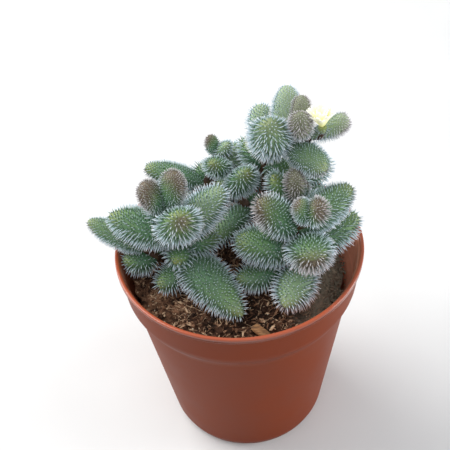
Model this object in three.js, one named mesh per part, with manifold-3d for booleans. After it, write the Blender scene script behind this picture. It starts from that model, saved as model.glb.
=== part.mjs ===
// A potted pickle plant: a small, spiny-leaved succulent with one pale yellow flower, in a 5.5 cm pot.
// Units are millimetres, +Z is up, and the origin is at the centre of the pot's base.
import * as THREE from "three";
import { mergeVertices } from "three/addons/utils/BufferGeometryUtils.js";
import Module from "manifold-3d";

const wasm = await Module();
wasm.setup();

const UP = new THREE.Vector3(0, 0, 1);
const CLEARANCE = 0.35;

// The pot: a thin-walled moulded plastic cup with a collar and a turned lip.
const POT = {
  height: 52.5,
  rimRadius: 27.5,
  lipDrop: 1.0,
  lipWidth: 1.2,
  lipEdge: 0.22,
  collarTopRadius: 26.8,
  collarTop: 50.9,
  collarFootRadius: 26.3,
  collarFoot: 43.6,
  bodyTopRadius: 24.7,
  bodyTop: 41,
  bodyFootRadius: 19.1,
  bodyFoot: 2.5,
  footRadius: 18.1,
  wall: 1.0,
  floor: 1.2,
  sides: 36,
};
const DRAIN = {
  holes: 4,
  radius: 2.2,
  sides: 12,
  ring: 12,
  channelWidth: 3,
  channelDepth: 0.5,
  channelStart: 7,
};

// The soil: a shrunk plug of peat, a little mounded, with a plain hole round each stem. Its clods are three
// waves that cross, each given by its angle per millimetre along X and Y and its start, in radians.
const SOIL = {
  middle: 46.7,
  fall: 1.6,
  topRadius: 24.2,
  shoulderDrop: 3.2,
  gap: 0.4,
  lump: 0.12,
  waves: [[0.9, 1.3, 0], [1.7, -0.8, 2], [0.4, 2.1, 4]],
  sides: 24,
  rings: 4,
};

// A leaf: widest a little before its middle, and flatter above than below. The blunter it is, the further out
// is its widest place and the slimmer its base.
const LEAF = {
  widest: 0.45,
  widestShift: 0.14,
  baseWidth: 0.5,
  baseLoss: 0.12,
  above: 0.36,
  below: 0.44,
  sunk: 0.1,
};
const ROUND_TIP = 2;
const SPINE = {
  long: 1.5,
  short: 0.75,
  halfBase: 0.3,
  least: 0.35,
  step: 0.1,
  fromSibling: 0.2,
  fromStem: 0.3,
};
const STEM = {
  radius: 1.25,
  youngRadius: 1.0,
  sides: 6,
  rootDepth: 36.5,
  soilTop: 47.5,
  holeGap: 0.4,
  holeDeeper: 1,
  holeSides: 8,
};

// The half angle that spine feet may fill between them, in radians, where a leaf is slim.
const WIDEST_FOOT = 0.45 * Math.PI;

// How many rows of spines a leaf carries, and how many spines stand in a row, by its length.
const SPINE_ROWS = [
  { longerThan: 13.4, rows: [0.18, 0.35, 0.51, 0.67, 0.81, 0.94], around: 6 },
  { longerThan: 9.4, rows: [0.2, 0.4, 0.59, 0.77, 0.93], around: 6 },
  { longerThan: 6.4, rows: [0.24, 0.48, 0.71, 0.92], around: 5 },
  { longerThan: 0, rows: [0.3, 0.61, 0.9], around: 5 },
];

// Each shoot: where its stem leaves the soil, then its joints from the lowest up. A leaf is given by the way
// it turns (degrees about +Z from +X), how steeply it rises, its length and its width, then how blunt its tip
// is, from 1.5 for a pointed one, and how short its spines still are, from 0 to 1.
const leaf = (turn, rise, length, width, { blunt = ROUND_TIP, down = 0 } = {}) => (
  { turn, rise, length, width, blunt, down });
const SHOOTS = {
  shoot_left: {
    root: [-9, -1],
    joints: [
      { at: [-11.5, -3, 50], leaves: [leaf(-140, -8, 8.4, 4.9)] },
      { at: [-11.5, -3.5, 52.5], leaves: [leaf(-51.5, -13.5, 18.6, 8.2, { blunt: 1.5 }), leaf(112, 12, 9, 6)] },
      { at: [-12, -3, 55.5], leaves: [leaf(-108, -4, 5, 4.2), leaf(22, -3, 8, 5)] },
      { at: [-13, -2.5, 58.5], leaves: [leaf(168, 16, 15.1, 7.2, { blunt: 1.8 }), leaf(33, 27, 14, 7)] },
      { at: [-13.2, -3, 60.5], leaves: [leaf(-70, 57, 10, 7.6), leaf(115, 45, 9, 6.5)] },
      {
        at: [-15, -0.5, 63.5],
        leaves: [
          leaf(170, 62, 8.5, 5.6, { blunt: 2.5, down: 1 }),
          leaf(30, 70, 9.8, 5.8, { blunt: 2.5, down: 1 }),
        ],
      },
    ],
  },
  shoot_far_left: {
    root: [-17, 3],
    joints: [
      { at: [-18.5, -1, 50.8], leaves: [leaf(-168, 6, 7.3, 5.2), leaf(95, 8, 6.3, 5)] },
      { at: [-20.5, -1, 54], leaves: [leaf(163.5, 24.3, 13.7, 4.9, { down: 0.8 })] },
    ],
  },
  shoot_right: {
    root: [9, -4],
    joints: [
      { at: [9.2, -6.9, 50], leaves: [leaf(193, 2, 10.5, 5)] },
      { at: [13.5, -7.5, 51], leaves: [leaf(-116, -6, 11, 7.2, { blunt: 1.6 }), leaf(50, 8, 8, 5.6)] },
      { at: [13, -5, 54.5], leaves: [leaf(179, 13.5, 14, 7.6), leaf(22, 14, 14.6, 7)] },
      { at: [14, -5.5, 57.5], leaves: [leaf(-85, 20, 10.5, 7.6), leaf(95, 20, 7, 5.4)] },
      {
        at: [12.2, -5.4, 60.5],
        leaves: [leaf(167, 42, 10.6, 6.8, { down: 0.2 }), leaf(30, 18, 15.1, 7, { down: 0.2 })],
      },
      {
        at: [14.5, -6.3, 63.5],
        leaves: [leaf(-10, 64, 5.9, 4.8, { blunt: 2.4, down: 0.5 }), leaf(165, 74, 5.7, 4.4, { down: 0.9 })],
      },
    ],
  },
  shoot_right_back: {
    root: [12, 5],
    joints: [
      { at: [12, 6, 53.5], leaves: [leaf(-70, 5, 5, 4.5), leaf(80, 8, 5.5, 4.5)] },
      { at: [12.5, 5, 59], leaves: [leaf(172, 60, 8.5, 5), leaf(-4, -2, 6.3, 4.8)] },
      {
        at: [13.4, 3, 61.4],
        leaves: [leaf(180, 87, 8, 4.9, { blunt: 2.2, down: 1 }), leaf(60, 45, 4.5, 3.2, { down: 1 })],
      },
    ],
  },
  shoot_tall: {
    root: [7.5, 10],
    joints: [
      { at: [7, 12.4, 64], leaves: [leaf(-22, 5, 7, 4.6), leaf(130, 25, 7, 5)] },
      { at: [8.5, 11.5, 68.5], leaves: [leaf(-95, 66, 12.9, 7.8, { down: 0.1 }), leaf(109, 51, 10.4, 6.4, { down: 0.3 })] },
      {
        at: [12, 10, 71.5],
        leaves: [leaf(-46, -11, 10.6, 6.4, { blunt: 2.2, down: 0.4 }), leaf(86, 58, 12.2, 6, { down: 0.6 })],
      },
      {
        at: [16, 10, 72.4],
        leaves: [leaf(-3, 30, 9.8, 4.6, { blunt: 3.2, down: 0.8 }), leaf(175, 40, 5, 4)],
      },
      {
        at: [14.6, 8.6, 74.2],
        leaves: [leaf(-98, 70, 8.6, 4.5, { down: 0.8 }), leaf(82, 58, 8.5, 3.7, { blunt: 2.3, down: 1 })],
      },
    ],
  },
  shoot_mid: {
    root: [1, 9],
    joints: [
      { at: [2.3, 10.2, 53.5], leaves: [leaf(-135, -8, 12, 5.5), leaf(45, 8, 4.5, 4)] },
      { at: [0, 12, 58], leaves: [leaf(-58, 58, 10, 6, { down: 0.3 })] },
    ],
  },
  shoot_mid_back: {
    root: [-6, 12],
    joints: [
      {
        at: [-6.5, 14.5, 58.5],
        leaves: [leaf(171, 15, 14.2, 5, { blunt: 2.3, down: 0.4 }), leaf(90, 45, 4.3, 4.6)],
      },
      { at: [-2.5, 16, 61], leaves: [leaf(-111, 46, 7.7, 5, { down: 0.5 }), leaf(55, 12, 7.6, 6)] },
      {
        at: [-3.6, 18, 63.5],
        leaves: [leaf(150, 72, 5, 3.4, { down: 1 }), leaf(-25, 50, 5, 3.4, { down: 0.6 })],
      },
    ],
  },
  shoot_back_left: {
    root: [-12, 11],
    joints: [
      { at: [-12.5, 11, 51], leaves: [leaf(100, 4, 9, 6.4), leaf(-85, 6, 6, 5)] },
      { at: [-13.5, 10.5, 54], leaves: [leaf(15, 14, 5.5, 4.5), leaf(190, 12, 7, 5.8)] },
    ],
  },
  shoot_back_right: {
    root: [15, 15],
    joints: [
      { at: [15, 15, 53.5], leaves: [leaf(95, 10, 8, 6), leaf(-20, 2, 6.3, 5)] },
      { at: [15.5, 15.3, 57], leaves: [leaf(40, 8, 8.5, 6.2), leaf(-125, 20, 5, 4.5)] },
    ],
  },
  shoot_back: {
    root: [4, 20],
    joints: [
      { at: [4, 20, 52.5], leaves: [leaf(-165, 8, 9, 6.2), leaf(30, 6, 6.3, 5)] },
      { at: [4.5, 20.5, 56.5], leaves: [leaf(98, 30, 8, 6)] },
    ],
  },
};

// The flower stands on a short bent stalk in the axil of the tall shoot's upper leaf. Along a petal, stations
// give its width as a share of the greatest. It leans out by its ring's angle, footLean to tipLean times.
const STALK = {
  shoot: "shoot_tall",
  path: [[16.3, 9.9, 73], [18, 9.2, 73], [18.9, 8.1, 74.1], [19, 7.5, 75.9]],
  radius: 0.5,
  sides: 6,
};
const FLOWER = {
  axis: [-0.09, 0.02, 1],
  cupRadius: 0.95,
  cupLength: 1.3,
  cupSunk: 0.5,
  cupSides: 9,
  heartRadius: 0.85,
  heartSides: 8,
  heartRings: 5,
  spread: 3,
  petalLength: 4.1,
  petalWidth: 1.3,
  petalThick: 0.62,
  petalRoot: { out: 0.2, high: 0.4 },
  stations: [[0, 0.5], [0.65, 1], [1, 0.45]],
  footLean: 0.75,
  tipLean: 1.1,
  layers: [{ petals: 7, open: 30 }, { petals: 5, open: 12 }],
};

const COLOURS = {
  pot: { color: 0x9a4a30, roughness: 0.45 },
  soil: { color: 0x3a2a20, roughness: 1.0 },
  leaves: { color: 0x5f7f55, roughness: 0.6 },
  flower: { color: 0xeeeeb4, roughness: 0.6 },
};

function closedGeometry(points, faces) {
  const geometry = new THREE.BufferGeometry();
  geometry.setAttribute("position", new THREE.Float32BufferAttribute(points.flatMap((p) => p.toArray()), 3));
  geometry.setIndex(faces.flat());
  return geometry;
}

function toSolid(geometry) {
  const bare = geometry.clone();
  bare.deleteAttribute("normal");
  bare.deleteAttribute("uv");
  const merged = mergeVertices(bare, 1e-4);
  return new wasm.Manifold(new wasm.Mesh({
    numProp: 3,
    vertProperties: new Float32Array(merged.attributes.position.array),
    triVerts: new Uint32Array(merged.index.array),
  }));
}

function toGeometry(solid) {
  const mesh = solid.getMesh();
  const geometry = new THREE.BufferGeometry();
  geometry.setAttribute("position", new THREE.Float32BufferAttribute(mesh.vertProperties, 3));
  geometry.setIndex(new THREE.Uint32BufferAttribute(mesh.triVerts, 1));
  geometry.computeVertexNormals();
  return geometry;
}

function addMesh(group, name, solid, look) {
  const material = new THREE.MeshStandardMaterial({ ...look, metalness: 0 });
  const mesh = new THREE.Mesh(toGeometry(solid), material);
  mesh.name = name;
  group.add(mesh);
}

// A round bar that bends at each point of a path, closed at both ends.
function rodSolid(path, radiusAt, sides) {
  const steps = path.length - 1;
  const points = [];
  const faces = [];
  for (let i = 0; i <= steps; i += 1) {
    const along = i / steps;
    const centre = path[i];
    const ahead = path[Math.min(i + 1, steps)].clone().sub(path[Math.max(i - 1, 0)]).normalize();
    const side = new THREE.Vector3(0, 1, 0).cross(ahead).normalize();
    const other = ahead.clone().cross(side);
    for (let k = 0; k < sides; k += 1) {
      const angle = (2 * Math.PI * k) / sides;
      points.push(centre.clone()
        .addScaledVector(side, radiusAt(along) * Math.cos(angle))
        .addScaledVector(other, radiusAt(along) * Math.sin(angle)));
    }
  }
  const first = points.length;
  points.push(path[0], path[steps]);
  for (let k = 0; k < sides; k += 1) {
    const next = (k + 1) % sides;
    faces.push([first, next, k]);
    faces.push([first + 1, steps * sides + k, steps * sides + next]);
    for (let i = 0; i < steps; i += 1) {
      const low = i * sides;
      const high = low + sides;
      faces.push([low + k, low + next, high + next], [low + k, high + next, high + k]);
    }
  }
  return toSolid(closedGeometry(points, faces));
}

function leafFrame(blade) {
  const turn = THREE.MathUtils.degToRad(blade.turn);
  const rise = THREE.MathUtils.degToRad(blade.rise);
  const ahead = new THREE.Vector3(
    Math.cos(turn) * Math.cos(rise), Math.sin(turn) * Math.cos(rise), Math.sin(rise));
  const side = new THREE.Vector3(-Math.sin(turn), Math.cos(turn), 0);
  const above = ahead.clone().cross(side);
  return { ahead, side, above };
}

// The half width of a leaf along its length, as a share of its greatest half width.
function leafOutline(t, blunt) {
  const club = blunt - ROUND_TIP;
  const widest = LEAF.widest + LEAF.widestShift * club;
  if (t < widest) {
    const base = LEAF.baseWidth - LEAF.baseLoss * club;
    return base + (1 - base) * Math.sin((Math.PI / 2) * Math.max(t, 0) / widest) ** Math.max(1, 1 + club);
  }
  return Math.max(1 - ((t - widest) / (1 - widest)) ** blunt, 0) ** (1 / blunt);
}

// A point on a leaf's skin, t along its length and angle round it, where a quarter turn is its upper side.
function leafSkin(blade, t, angle) {
  const { ahead, side, above } = blade.frame;
  const outline = leafOutline(t, blade.blunt) * blade.width;
  const depth = Math.sin(angle) > 0 ? LEAF.above : LEAF.below;
  return blade.at.clone()
    .addScaledVector(ahead, t * blade.length)
    .addScaledVector(side, (outline / 2) * Math.cos(angle))
    .addScaledVector(above, outline * depth * Math.sin(angle));
}

function leafNormal(blade, t, angle) {
  const nudge = 0.02;
  const alongLeaf = leafSkin(blade, t + nudge, angle).sub(leafSkin(blade, t - nudge, angle));
  const roundLeaf = leafSkin(blade, t, angle + nudge).sub(leafSkin(blade, t, angle - nudge));
  return roundLeaf.cross(alongLeaf).normalize();
}

// About how far a point lies outside a leaf's skin, and below nothing where it is inside.
function distanceToLeaf(point, blade) {
  const from = point.clone().sub(blade.at);
  const along = from.dot(blade.frame.ahead);
  const across = from.dot(blade.frame.side);
  const high = from.dot(blade.frame.above);
  const t = THREE.MathUtils.clamp(along / blade.length, 0.02, 0.97);
  const outline = Math.max(leafOutline(t, blade.blunt) * blade.width, 0.1);
  const depth = outline * (high > 0 ? LEAF.above : LEAF.below);
  const share = Math.hypot(across / (outline / 2), high / depth);
  const radial = Math.hypot(across, high);
  const lateral = share > 1e-6 ? radial * (1 - 1 / share) : -depth;
  const beyond = Math.abs(along - t * blade.length);
  return along > 0 && along < blade.length ? lateral : Math.hypot(Math.max(lateral, 0), beyond);
}

function distanceToRod(point, path, radius) {
  let nearest = Infinity;
  for (let i = 1; i < path.length; i += 1) {
    const stretch = new THREE.Line3(path[i - 1], path[i]);
    const foot = stretch.closestPointToPoint(point, true, new THREE.Vector3());
    nearest = Math.min(nearest, foot.distanceTo(point) - radius);
  }
  return nearest;
}

function soilHeight(x, y) {
  const clods = SOIL.waves.reduce((sum, [alongX, alongY, start]) => (
    sum + Math.sin(alongX * x + alongY * y + start)), 0);
  return SOIL.middle - SOIL.fall * (Math.hypot(x, y) / SOIL.topRadius) ** 2 + SOIL.lump * clods;
}

function potOuterRadius(z) {
  if (z > POT.collarFoot) {
    const share = (z - POT.collarFoot) / (POT.collarTop - POT.collarFoot);
    return THREE.MathUtils.lerp(POT.collarFootRadius, POT.collarTopRadius, share);
  }
  if (z > POT.bodyTop) {
    const share = (z - POT.bodyTop) / (POT.collarFoot - POT.bodyTop);
    return THREE.MathUtils.lerp(POT.bodyTopRadius, POT.collarFootRadius, share);
  }
  const share = (z - POT.bodyFoot) / (POT.bodyTop - POT.bodyFoot);
  return THREE.MathUtils.lerp(POT.bodyFootRadius, POT.bodyTopRadius, share);
}

// How far a point lies from the soil and from the pot's wall.
function distanceToPot(point) {
  const reach = Math.hypot(point.x, point.y);
  const aboveSoil = point.z - soilHeight(point.x, point.y);
  if (point.z > POT.height) {
    const fromWall = Math.max(POT.rimRadius - POT.lipWidth - reach, reach - POT.rimRadius, 0);
    return Math.min(aboveSoil, Math.hypot(fromWall, point.z - POT.height));
  }
  return Math.min(aboveSoil, potOuterRadius(point.z) - POT.wall - reach);
}

const shoots = Object.entries(SHOOTS).map(([name, { root, joints }]) => {
  const buried = [STEM.rootDepth, STEM.soilTop].map((z) => new THREE.Vector3(...root, z));
  const path = [...buried, ...joints.map((joint) => new THREE.Vector3(...joint.at))];
  const leaves = joints.flatMap((joint) => joint.leaves.map((blade) => (
    { ...blade, at: new THREE.Vector3(...joint.at), frame: leafFrame(blade) })));
  return { name, path, leaves };
});
const stalkPath = STALK.path.map((p) => new THREE.Vector3(...p));
const flowerAxis = new THREE.Vector3(...FLOWER.axis).normalize();
const cupFoot = stalkPath[stalkPath.length - 1];
const flowerFoot = cupFoot.clone().addScaledVector(flowerAxis, FLOWER.cupLength);
const flowerTop = flowerFoot.clone().addScaledVector(flowerAxis, FLOWER.petalLength);

// A spine stops short of the middle of the gap to any other shoot, to the soil, the pot and the flower, and
// one that would stand inside another leaf of its own shoot is left out.
function spineHeight(blade, shoot, foot, normal) {
  const full = THREE.MathUtils.lerp(SPINE.long, SPINE.short, blade.down);
  const siblings = shoot.leaves.filter((other) => other !== blade);
  for (let height = full; height > SPINE.least; height -= SPINE.step) {
    const apex = foot.clone().addScaledVector(normal, height);
    const roomInShoot = Math.min(
      distanceToRod(apex, shoot.path, STEM.radius) - SPINE.fromStem,
      ...siblings.map((other) => (
        Math.min(distanceToLeaf(apex, other), distanceToLeaf(foot, other)) - SPINE.fromSibling)));
    const room = Math.min(
      distanceToPot(apex),
      distanceToRod(apex, [flowerFoot, flowerTop], FLOWER.spread),
      ...shoots.filter((other) => other !== shoot).map((other) => Math.min(
        distanceToRod(apex, other.path, STEM.radius) - height,
        ...other.leaves.map((otherBlade) => distanceToLeaf(apex, otherBlade) - height))));
    if (room > CLEARANCE && roomInShoot > 0) {
      return height;
    }
  }
  return 0;
}

// One leaf: its skin is made of rows of spines, each on a small three-cornered foot, turned by half a step
// from row to row, with plain skin between them.
function leafSolid(blade, shoot) {
  const { rows, around } = SPINE_ROWS.find((size) => blade.length > size.longerThan);
  const points = [];
  const faces = [];
  const put = (point) => points.push(point) - 1;
  const feet = rows.map((t, row) => Array.from({ length: around }, (_, k) => {
    const angle = (2 * Math.PI * (k + 0.5 * (row % 2))) / around + Math.PI / around;
    const girth = leafOutline(t, blade.blunt) * blade.width * LEAF.below;
    const halfAngle = Math.min(SPINE.halfBase / girth, WIDEST_FOOT / around);
    const halfStep = SPINE.halfBase / blade.length;
    const before = put(leafSkin(blade, t - halfStep, angle - halfAngle));
    const after = put(leafSkin(blade, t - halfStep, angle + halfAngle));
    const ahead = put(leafSkin(blade, t + halfStep, angle));
    const foot = leafSkin(blade, t, angle);
    const normal = leafNormal(blade, t, angle);
    const height = spineHeight(blade, shoot, foot, normal);
    if (height > 0) {
      const apex = put(foot.addScaledVector(normal, height));
      faces.push([before, after, apex], [after, ahead, apex], [ahead, before, apex]);
    } else {
      faces.push([before, after, ahead]);
    }
    return { before, after, ahead };
  }));
  for (let row = 0; row + 1 < rows.length; row += 1) {
    const shift = row % 2;
    for (let k = 0; k < around; k += 1) {
      const here = feet[row][k];
      const next = feet[row][(k + 1) % around];
      const over = feet[row + 1][(k + shift) % around];
      const overBefore = feet[row + 1][(k + shift + around - 1) % around];
      faces.push([here.after, next.before, over.after], [here.after, over.after, over.before]);
      faces.push([here.before, here.ahead, overBefore.after], [here.ahead, over.before, overBefore.after]);
      faces.push([here.ahead, here.after, over.before]);
    }
  }
  const root = put(blade.at.clone().addScaledVector(blade.frame.ahead, -LEAF.sunk * blade.length));
  const tip = put(blade.at.clone().addScaledVector(blade.frame.ahead, blade.length));
  const last = feet[rows.length - 1];
  for (let k = 0; k < around; k += 1) {
    const low = feet[0][k];
    const lowNext = feet[0][(k + 1) % around];
    faces.push([root, low.after, low.before], [root, lowNext.before, low.after]);
    const top = last[k];
    const topNext = last[(k + 1) % around];
    faces.push([top.before, top.ahead, tip], [top.ahead, top.after, tip], [top.after, topNext.before, tip]);
  }
  return toSolid(closedGeometry(points, faces));
}

// The largest body of a solid: it leaves out closed gaps between leaf bases.
function wholeBody(solid) {
  const bodies = solid.decompose();
  return bodies.reduce((best, body) => (body.volume() > best.volume() ? body : best));
}

function shootSolid(shoot) {
  const stemRadius = (along) => THREE.MathUtils.lerp(STEM.radius, STEM.youngRadius, along);
  let solid = rodSolid(shoot.path, stemRadius, STEM.sides);
  for (const blade of shoot.leaves) {
    solid = solid.add(leafSolid(blade, shoot));
  }
  if (shoot.name === STALK.shoot) {
    solid = solid.add(rodSolid(stalkPath, () => STALK.radius, STALK.sides)).add(flowerCup());
  }
  return wholeBody(solid);
}

function turnedTo(geometry, axis, foot) {
  geometry.applyQuaternion(new THREE.Quaternion().setFromUnitVectors(UP, axis));
  geometry.translate(foot.x, foot.y, foot.z);
  return geometry;
}

// The green cup under the petals.
function flowerCup() {
  const { cupRadius, cupLength, cupSunk, cupSides } = FLOWER;
  const top = cupLength - CLEARANCE;
  const profile = [
    [0, -cupSunk],
    [cupRadius / 2, -cupSunk],
    [cupRadius, cupLength / 2],
    [cupRadius, top],
    [0, top],
  ];
  const cup = new THREE.LatheGeometry(profile.map(([r, z]) => new THREE.Vector2(r, z)), cupSides);
  cup.rotateX(Math.PI / 2);
  return toSolid(turnedTo(cup, flowerAxis, cupFoot));
}

// One thin petal, rising out of the flower's heart and arching over at its tip.
function petalGeometry(open, turn) {
  const { petalLength, petalWidth, petalThick, petalRoot, stations, footLean, tipLean } = FLOWER;
  const points = [];
  const faces = [];
  for (const [t, share] of stations) {
    const lean = THREE.MathUtils.degToRad(open * THREE.MathUtils.lerp(footLean, tipLean, t));
    const out = petalLength * t * Math.sin(lean) + petalRoot.out;
    const high = petalLength * t * Math.cos(lean) + petalRoot.high;
    const half = (petalWidth / 2) * share;
    const skin = new THREE.Vector3(Math.cos(lean), 0, -Math.sin(lean)).multiplyScalar(petalThick / 2);
    for (const [y, side] of [[-half, 1], [half, 1], [half, -1], [-half, -1]]) {
      points.push(new THREE.Vector3(out, y, high).addScaledVector(skin, side));
    }
  }
  for (let i = 0; i + 1 < stations.length; i += 1) {
    for (let k = 0; k < 4; k += 1) {
      const low = i * 4;
      const next = (k + 1) % 4;
      faces.push([low + k, low + next, low + 4 + next], [low + k, low + 4 + next, low + 4 + k]);
    }
  }
  const end = (stations.length - 1) * 4;
  faces.push([2, 1, 0], [3, 2, 0], [end, end + 1, end + 2], [end, end + 2, end + 3]);
  return closedGeometry(points, faces).rotateZ(turn);
}

function flowerSolid() {
  const { heartRadius, heartSides, heartRings } = FLOWER;
  const heart = new THREE.SphereGeometry(heartRadius, heartSides, heartRings).rotateX(Math.PI / 2);
  heart.translate(0, 0, heartRadius);
  let solid = toSolid(turnedTo(heart, flowerAxis, flowerFoot));
  FLOWER.layers.forEach(({ petals, open }, layer) => {
    for (let k = 0; k < petals; k += 1) {
      const turn = (2 * Math.PI * (k + 0.5 * layer)) / petals;
      solid = solid.add(toSolid(turnedTo(petalGeometry(open, turn), flowerAxis, flowerFoot)));
    }
  });
  return wholeBody(solid);
}

function latheSolid(profile, sides) {
  const geometry = new THREE.LatheGeometry(profile.map(([r, z]) => new THREE.Vector2(r, z)), sides);
  return toSolid(geometry.rotateX(Math.PI / 2));
}

function potSolid() {
  const inner = (z) => potOuterRadius(z) - POT.wall;
  const profile = [
    [0, 0],
    [POT.footRadius, 0],
    [POT.bodyFootRadius, POT.bodyFoot],
    [POT.bodyTopRadius, POT.bodyTop],
    [POT.collarFootRadius, POT.collarFoot],
    [POT.collarTopRadius, POT.collarTop],
    [POT.rimRadius, POT.height - POT.lipDrop],
    [POT.rimRadius, POT.height - POT.lipEdge],
    [POT.rimRadius - POT.lipEdge, POT.height],
    [POT.rimRadius - POT.lipWidth, POT.height],
    [inner(POT.collarTop), POT.collarTop],
    [inner(POT.collarFoot), POT.collarFoot],
    [inner(POT.bodyTop), POT.bodyTop],
    [inner(POT.bodyFoot), POT.bodyFoot],
    [inner(POT.bodyFoot) - POT.floor / 2, POT.floor],
    [0, POT.floor],
  ];
  let solid = latheSolid(profile, POT.sides);
  for (let k = 0; k < DRAIN.holes; k += 1) {
    const turn = (2 * Math.PI * (k + 0.5)) / DRAIN.holes;
    const hole = new THREE.CylinderGeometry(DRAIN.radius, DRAIN.radius, 4 * POT.floor, DRAIN.sides);
    hole.rotateX(Math.PI / 2).translate(DRAIN.ring, 0, 0).rotateZ(turn);
    const reach = POT.rimRadius - DRAIN.channelStart;
    const channel = new THREE.BoxGeometry(reach, DRAIN.channelWidth, 2 * DRAIN.channelDepth);
    channel.translate(DRAIN.channelStart + reach / 2, 0, 0).rotateZ(turn);
    solid = solid.subtract(toSolid(hole)).subtract(toSolid(channel));
  }
  return solid;
}

function soilSolid() {
  const inside = (z) => potOuterRadius(z) - POT.wall - SOIL.gap;
  const bottom = POT.floor + SOIL.gap;
  const shoulder = SOIL.middle - SOIL.fall - SOIL.shoulderDrop;
  const rings = Array.from({ length: SOIL.rings + 1 }, (_, i) => SOIL.topRadius * (1 - i / SOIL.rings));
  const profile = [
    [0, bottom],
    [inside(POT.bodyFoot) - POT.floor, bottom],
    [inside(POT.bodyFoot + POT.floor), POT.bodyFoot + POT.floor],
    [inside(POT.bodyTop), POT.bodyTop],
    [inside(POT.bodyTop), shoulder],
    ...rings.map((r) => [r, SOIL.middle]),
  ];
  const geometry = new THREE.LatheGeometry(profile.map(([r, z]) => new THREE.Vector2(r, z)), SOIL.sides);
  geometry.rotateX(Math.PI / 2);
  const { position } = geometry.attributes;
  for (let i = 0; i < position.count; i += 1) {
    if (position.getZ(i) > shoulder + 0.1) {
      position.setZ(i, soilHeight(position.getX(i), position.getY(i)));
    }
  }
  let solid = toSolid(geometry);
  for (const { path: [foot, collar] } of shoots) {
    const hole = [
      foot.clone().addScaledVector(UP, -STEM.holeDeeper),
      collar.clone().addScaledVector(UP, STEM.holeDeeper),
    ];
    solid = solid.subtract(rodSolid(hole, () => STEM.radius + STEM.holeGap, STEM.holeSides));
  }
  return wholeBody(solid);
}

const plant = new THREE.Group();
addMesh(plant, "pot", potSolid(), COLOURS.pot);
addMesh(plant, "soil", soilSolid(), COLOURS.soil);
for (const shoot of shoots) {
  addMesh(plant, shoot.name, shootSolid(shoot), COLOURS.leaves);
}
addMesh(plant, "flower", flowerSolid(), COLOURS.flower);

export default plant;
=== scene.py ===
import math

import bmesh
import bpy
import numpy as np
from mathutils import Matrix, Vector


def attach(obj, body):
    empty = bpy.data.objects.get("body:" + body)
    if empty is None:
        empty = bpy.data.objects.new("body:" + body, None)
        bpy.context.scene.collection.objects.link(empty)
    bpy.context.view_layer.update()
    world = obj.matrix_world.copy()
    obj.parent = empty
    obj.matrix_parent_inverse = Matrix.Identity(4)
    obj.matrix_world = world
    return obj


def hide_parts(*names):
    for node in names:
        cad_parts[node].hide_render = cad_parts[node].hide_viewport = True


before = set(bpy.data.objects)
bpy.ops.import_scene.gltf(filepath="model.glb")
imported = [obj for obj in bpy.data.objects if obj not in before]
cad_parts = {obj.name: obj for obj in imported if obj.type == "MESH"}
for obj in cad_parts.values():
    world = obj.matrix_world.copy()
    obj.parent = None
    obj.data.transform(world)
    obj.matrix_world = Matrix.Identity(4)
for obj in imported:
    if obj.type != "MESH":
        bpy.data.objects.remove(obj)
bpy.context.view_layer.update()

# The nursery pot.
# The real one is polypropylene, injection moulded in one shot with a collar and a turned lip, so its wall is
# thin and even and its edges are softly rounded. It stands free, and its base is pierced for drainage.

MM = 0.001
POT_HEIGHT = 52.5
RIM_RADIUS = 27.5
POT_FLOOR = 1.2
POT_WALL_SIDES = 160
DRAIN_HOLES = 4
DRAIN_RADIUS = 2.2
DRAIN_RING = 12.0
CHANNEL_WIDTH = 3.0
CHANNEL_DEPTH = 0.5
CHANNEL_START = 7.0
# Corners of the pot from the outside of its base, over the lip and down to the floor inside: radius, height
# and how far the corner is rounded. The groove under the lip is where the mould parts.
POT_CORNERS = [
    (0, 0, 0),
    (18.1, 0.0, 0.9),
    (19.1, 2.5, 0.6),
    (24.7, 41.0, 1.2),
    (26.3, 43.6, 1.4),
    (26.8, 50.9, 0.15),
    (27.3, 51.1, 0.12),
    (27.5, 51.4, 0.12),
    (27.25, 51.6, 0.08),
    (27.5, 51.8, 0.12),
    (RIM_RADIUS, POT_HEIGHT, 0.3),
    (26.75, POT_HEIGHT, 0.25),
    (26.0, 51.1, 0.8),
    (25.3, 43.6, 1.4),
    (23.7, 41.0, 1.2),
    (18.1, 2.5, 0.8),
    (17.5, POT_FLOOR, 0.4),
    (0, POT_FLOOR, 0),
]


def linear(hex_colour):
    """An sRGB hex colour as linear red, green, blue and alpha."""
    channels = [int(hex_colour[i:i + 2], 16) / 255 for i in (1, 3, 5)]
    return [c / 12.92 if c <= 0.04045 else ((c + 0.055) / 1.055) ** 2.4 for c in channels] + [1.0]


def socket(sockets, name):
    """The socket of that name or number, of those that the node's settings leave in use."""
    in_use = [s for s in sockets if s.enabled]
    return in_use[name] if isinstance(name, int) else next(s for s in in_use if s.name == name)


def add_node(material, kind, settings=(), links=()):
    """Adds a shader node, with colours as sRGB hex. A link's source is a node, or a node and its output."""
    node = material.node_tree.nodes.new(kind) if isinstance(kind, str) else kind
    for name, value in dict(settings).items():
        if isinstance(name, str) and name.islower():
            setattr(node, name, value)
        elif name == "Stops":
            elements = node.color_ramp.elements
            while len(elements) < len(value):
                elements.new(0.5)
            for element, (place, hex_colour) in zip(elements, value):
                element.position = place
                element.color = linear(hex_colour)
        else:
            is_colour = isinstance(value, str)
            socket(node.inputs, name).default_value = linear(value) if is_colour else value
    for name, source in dict(links).items():
        source, output = source if isinstance(source, tuple) else (source, 0)
        material.node_tree.links.new(socket(source.outputs, output), socket(node.inputs, name))
    return node


def new_material(name, slot, settings):
    """A material, its surface shader and the position that its patterns are drawn in."""
    material = bpy.data.materials.new(name)
    material.use_nodes = True
    material["slot"] = slot
    surface = add_node(material, material.node_tree.nodes["Principled BSDF"], settings)
    position = add_node(material, "ShaderNodeNewGeometry")
    return material, surface, position


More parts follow.
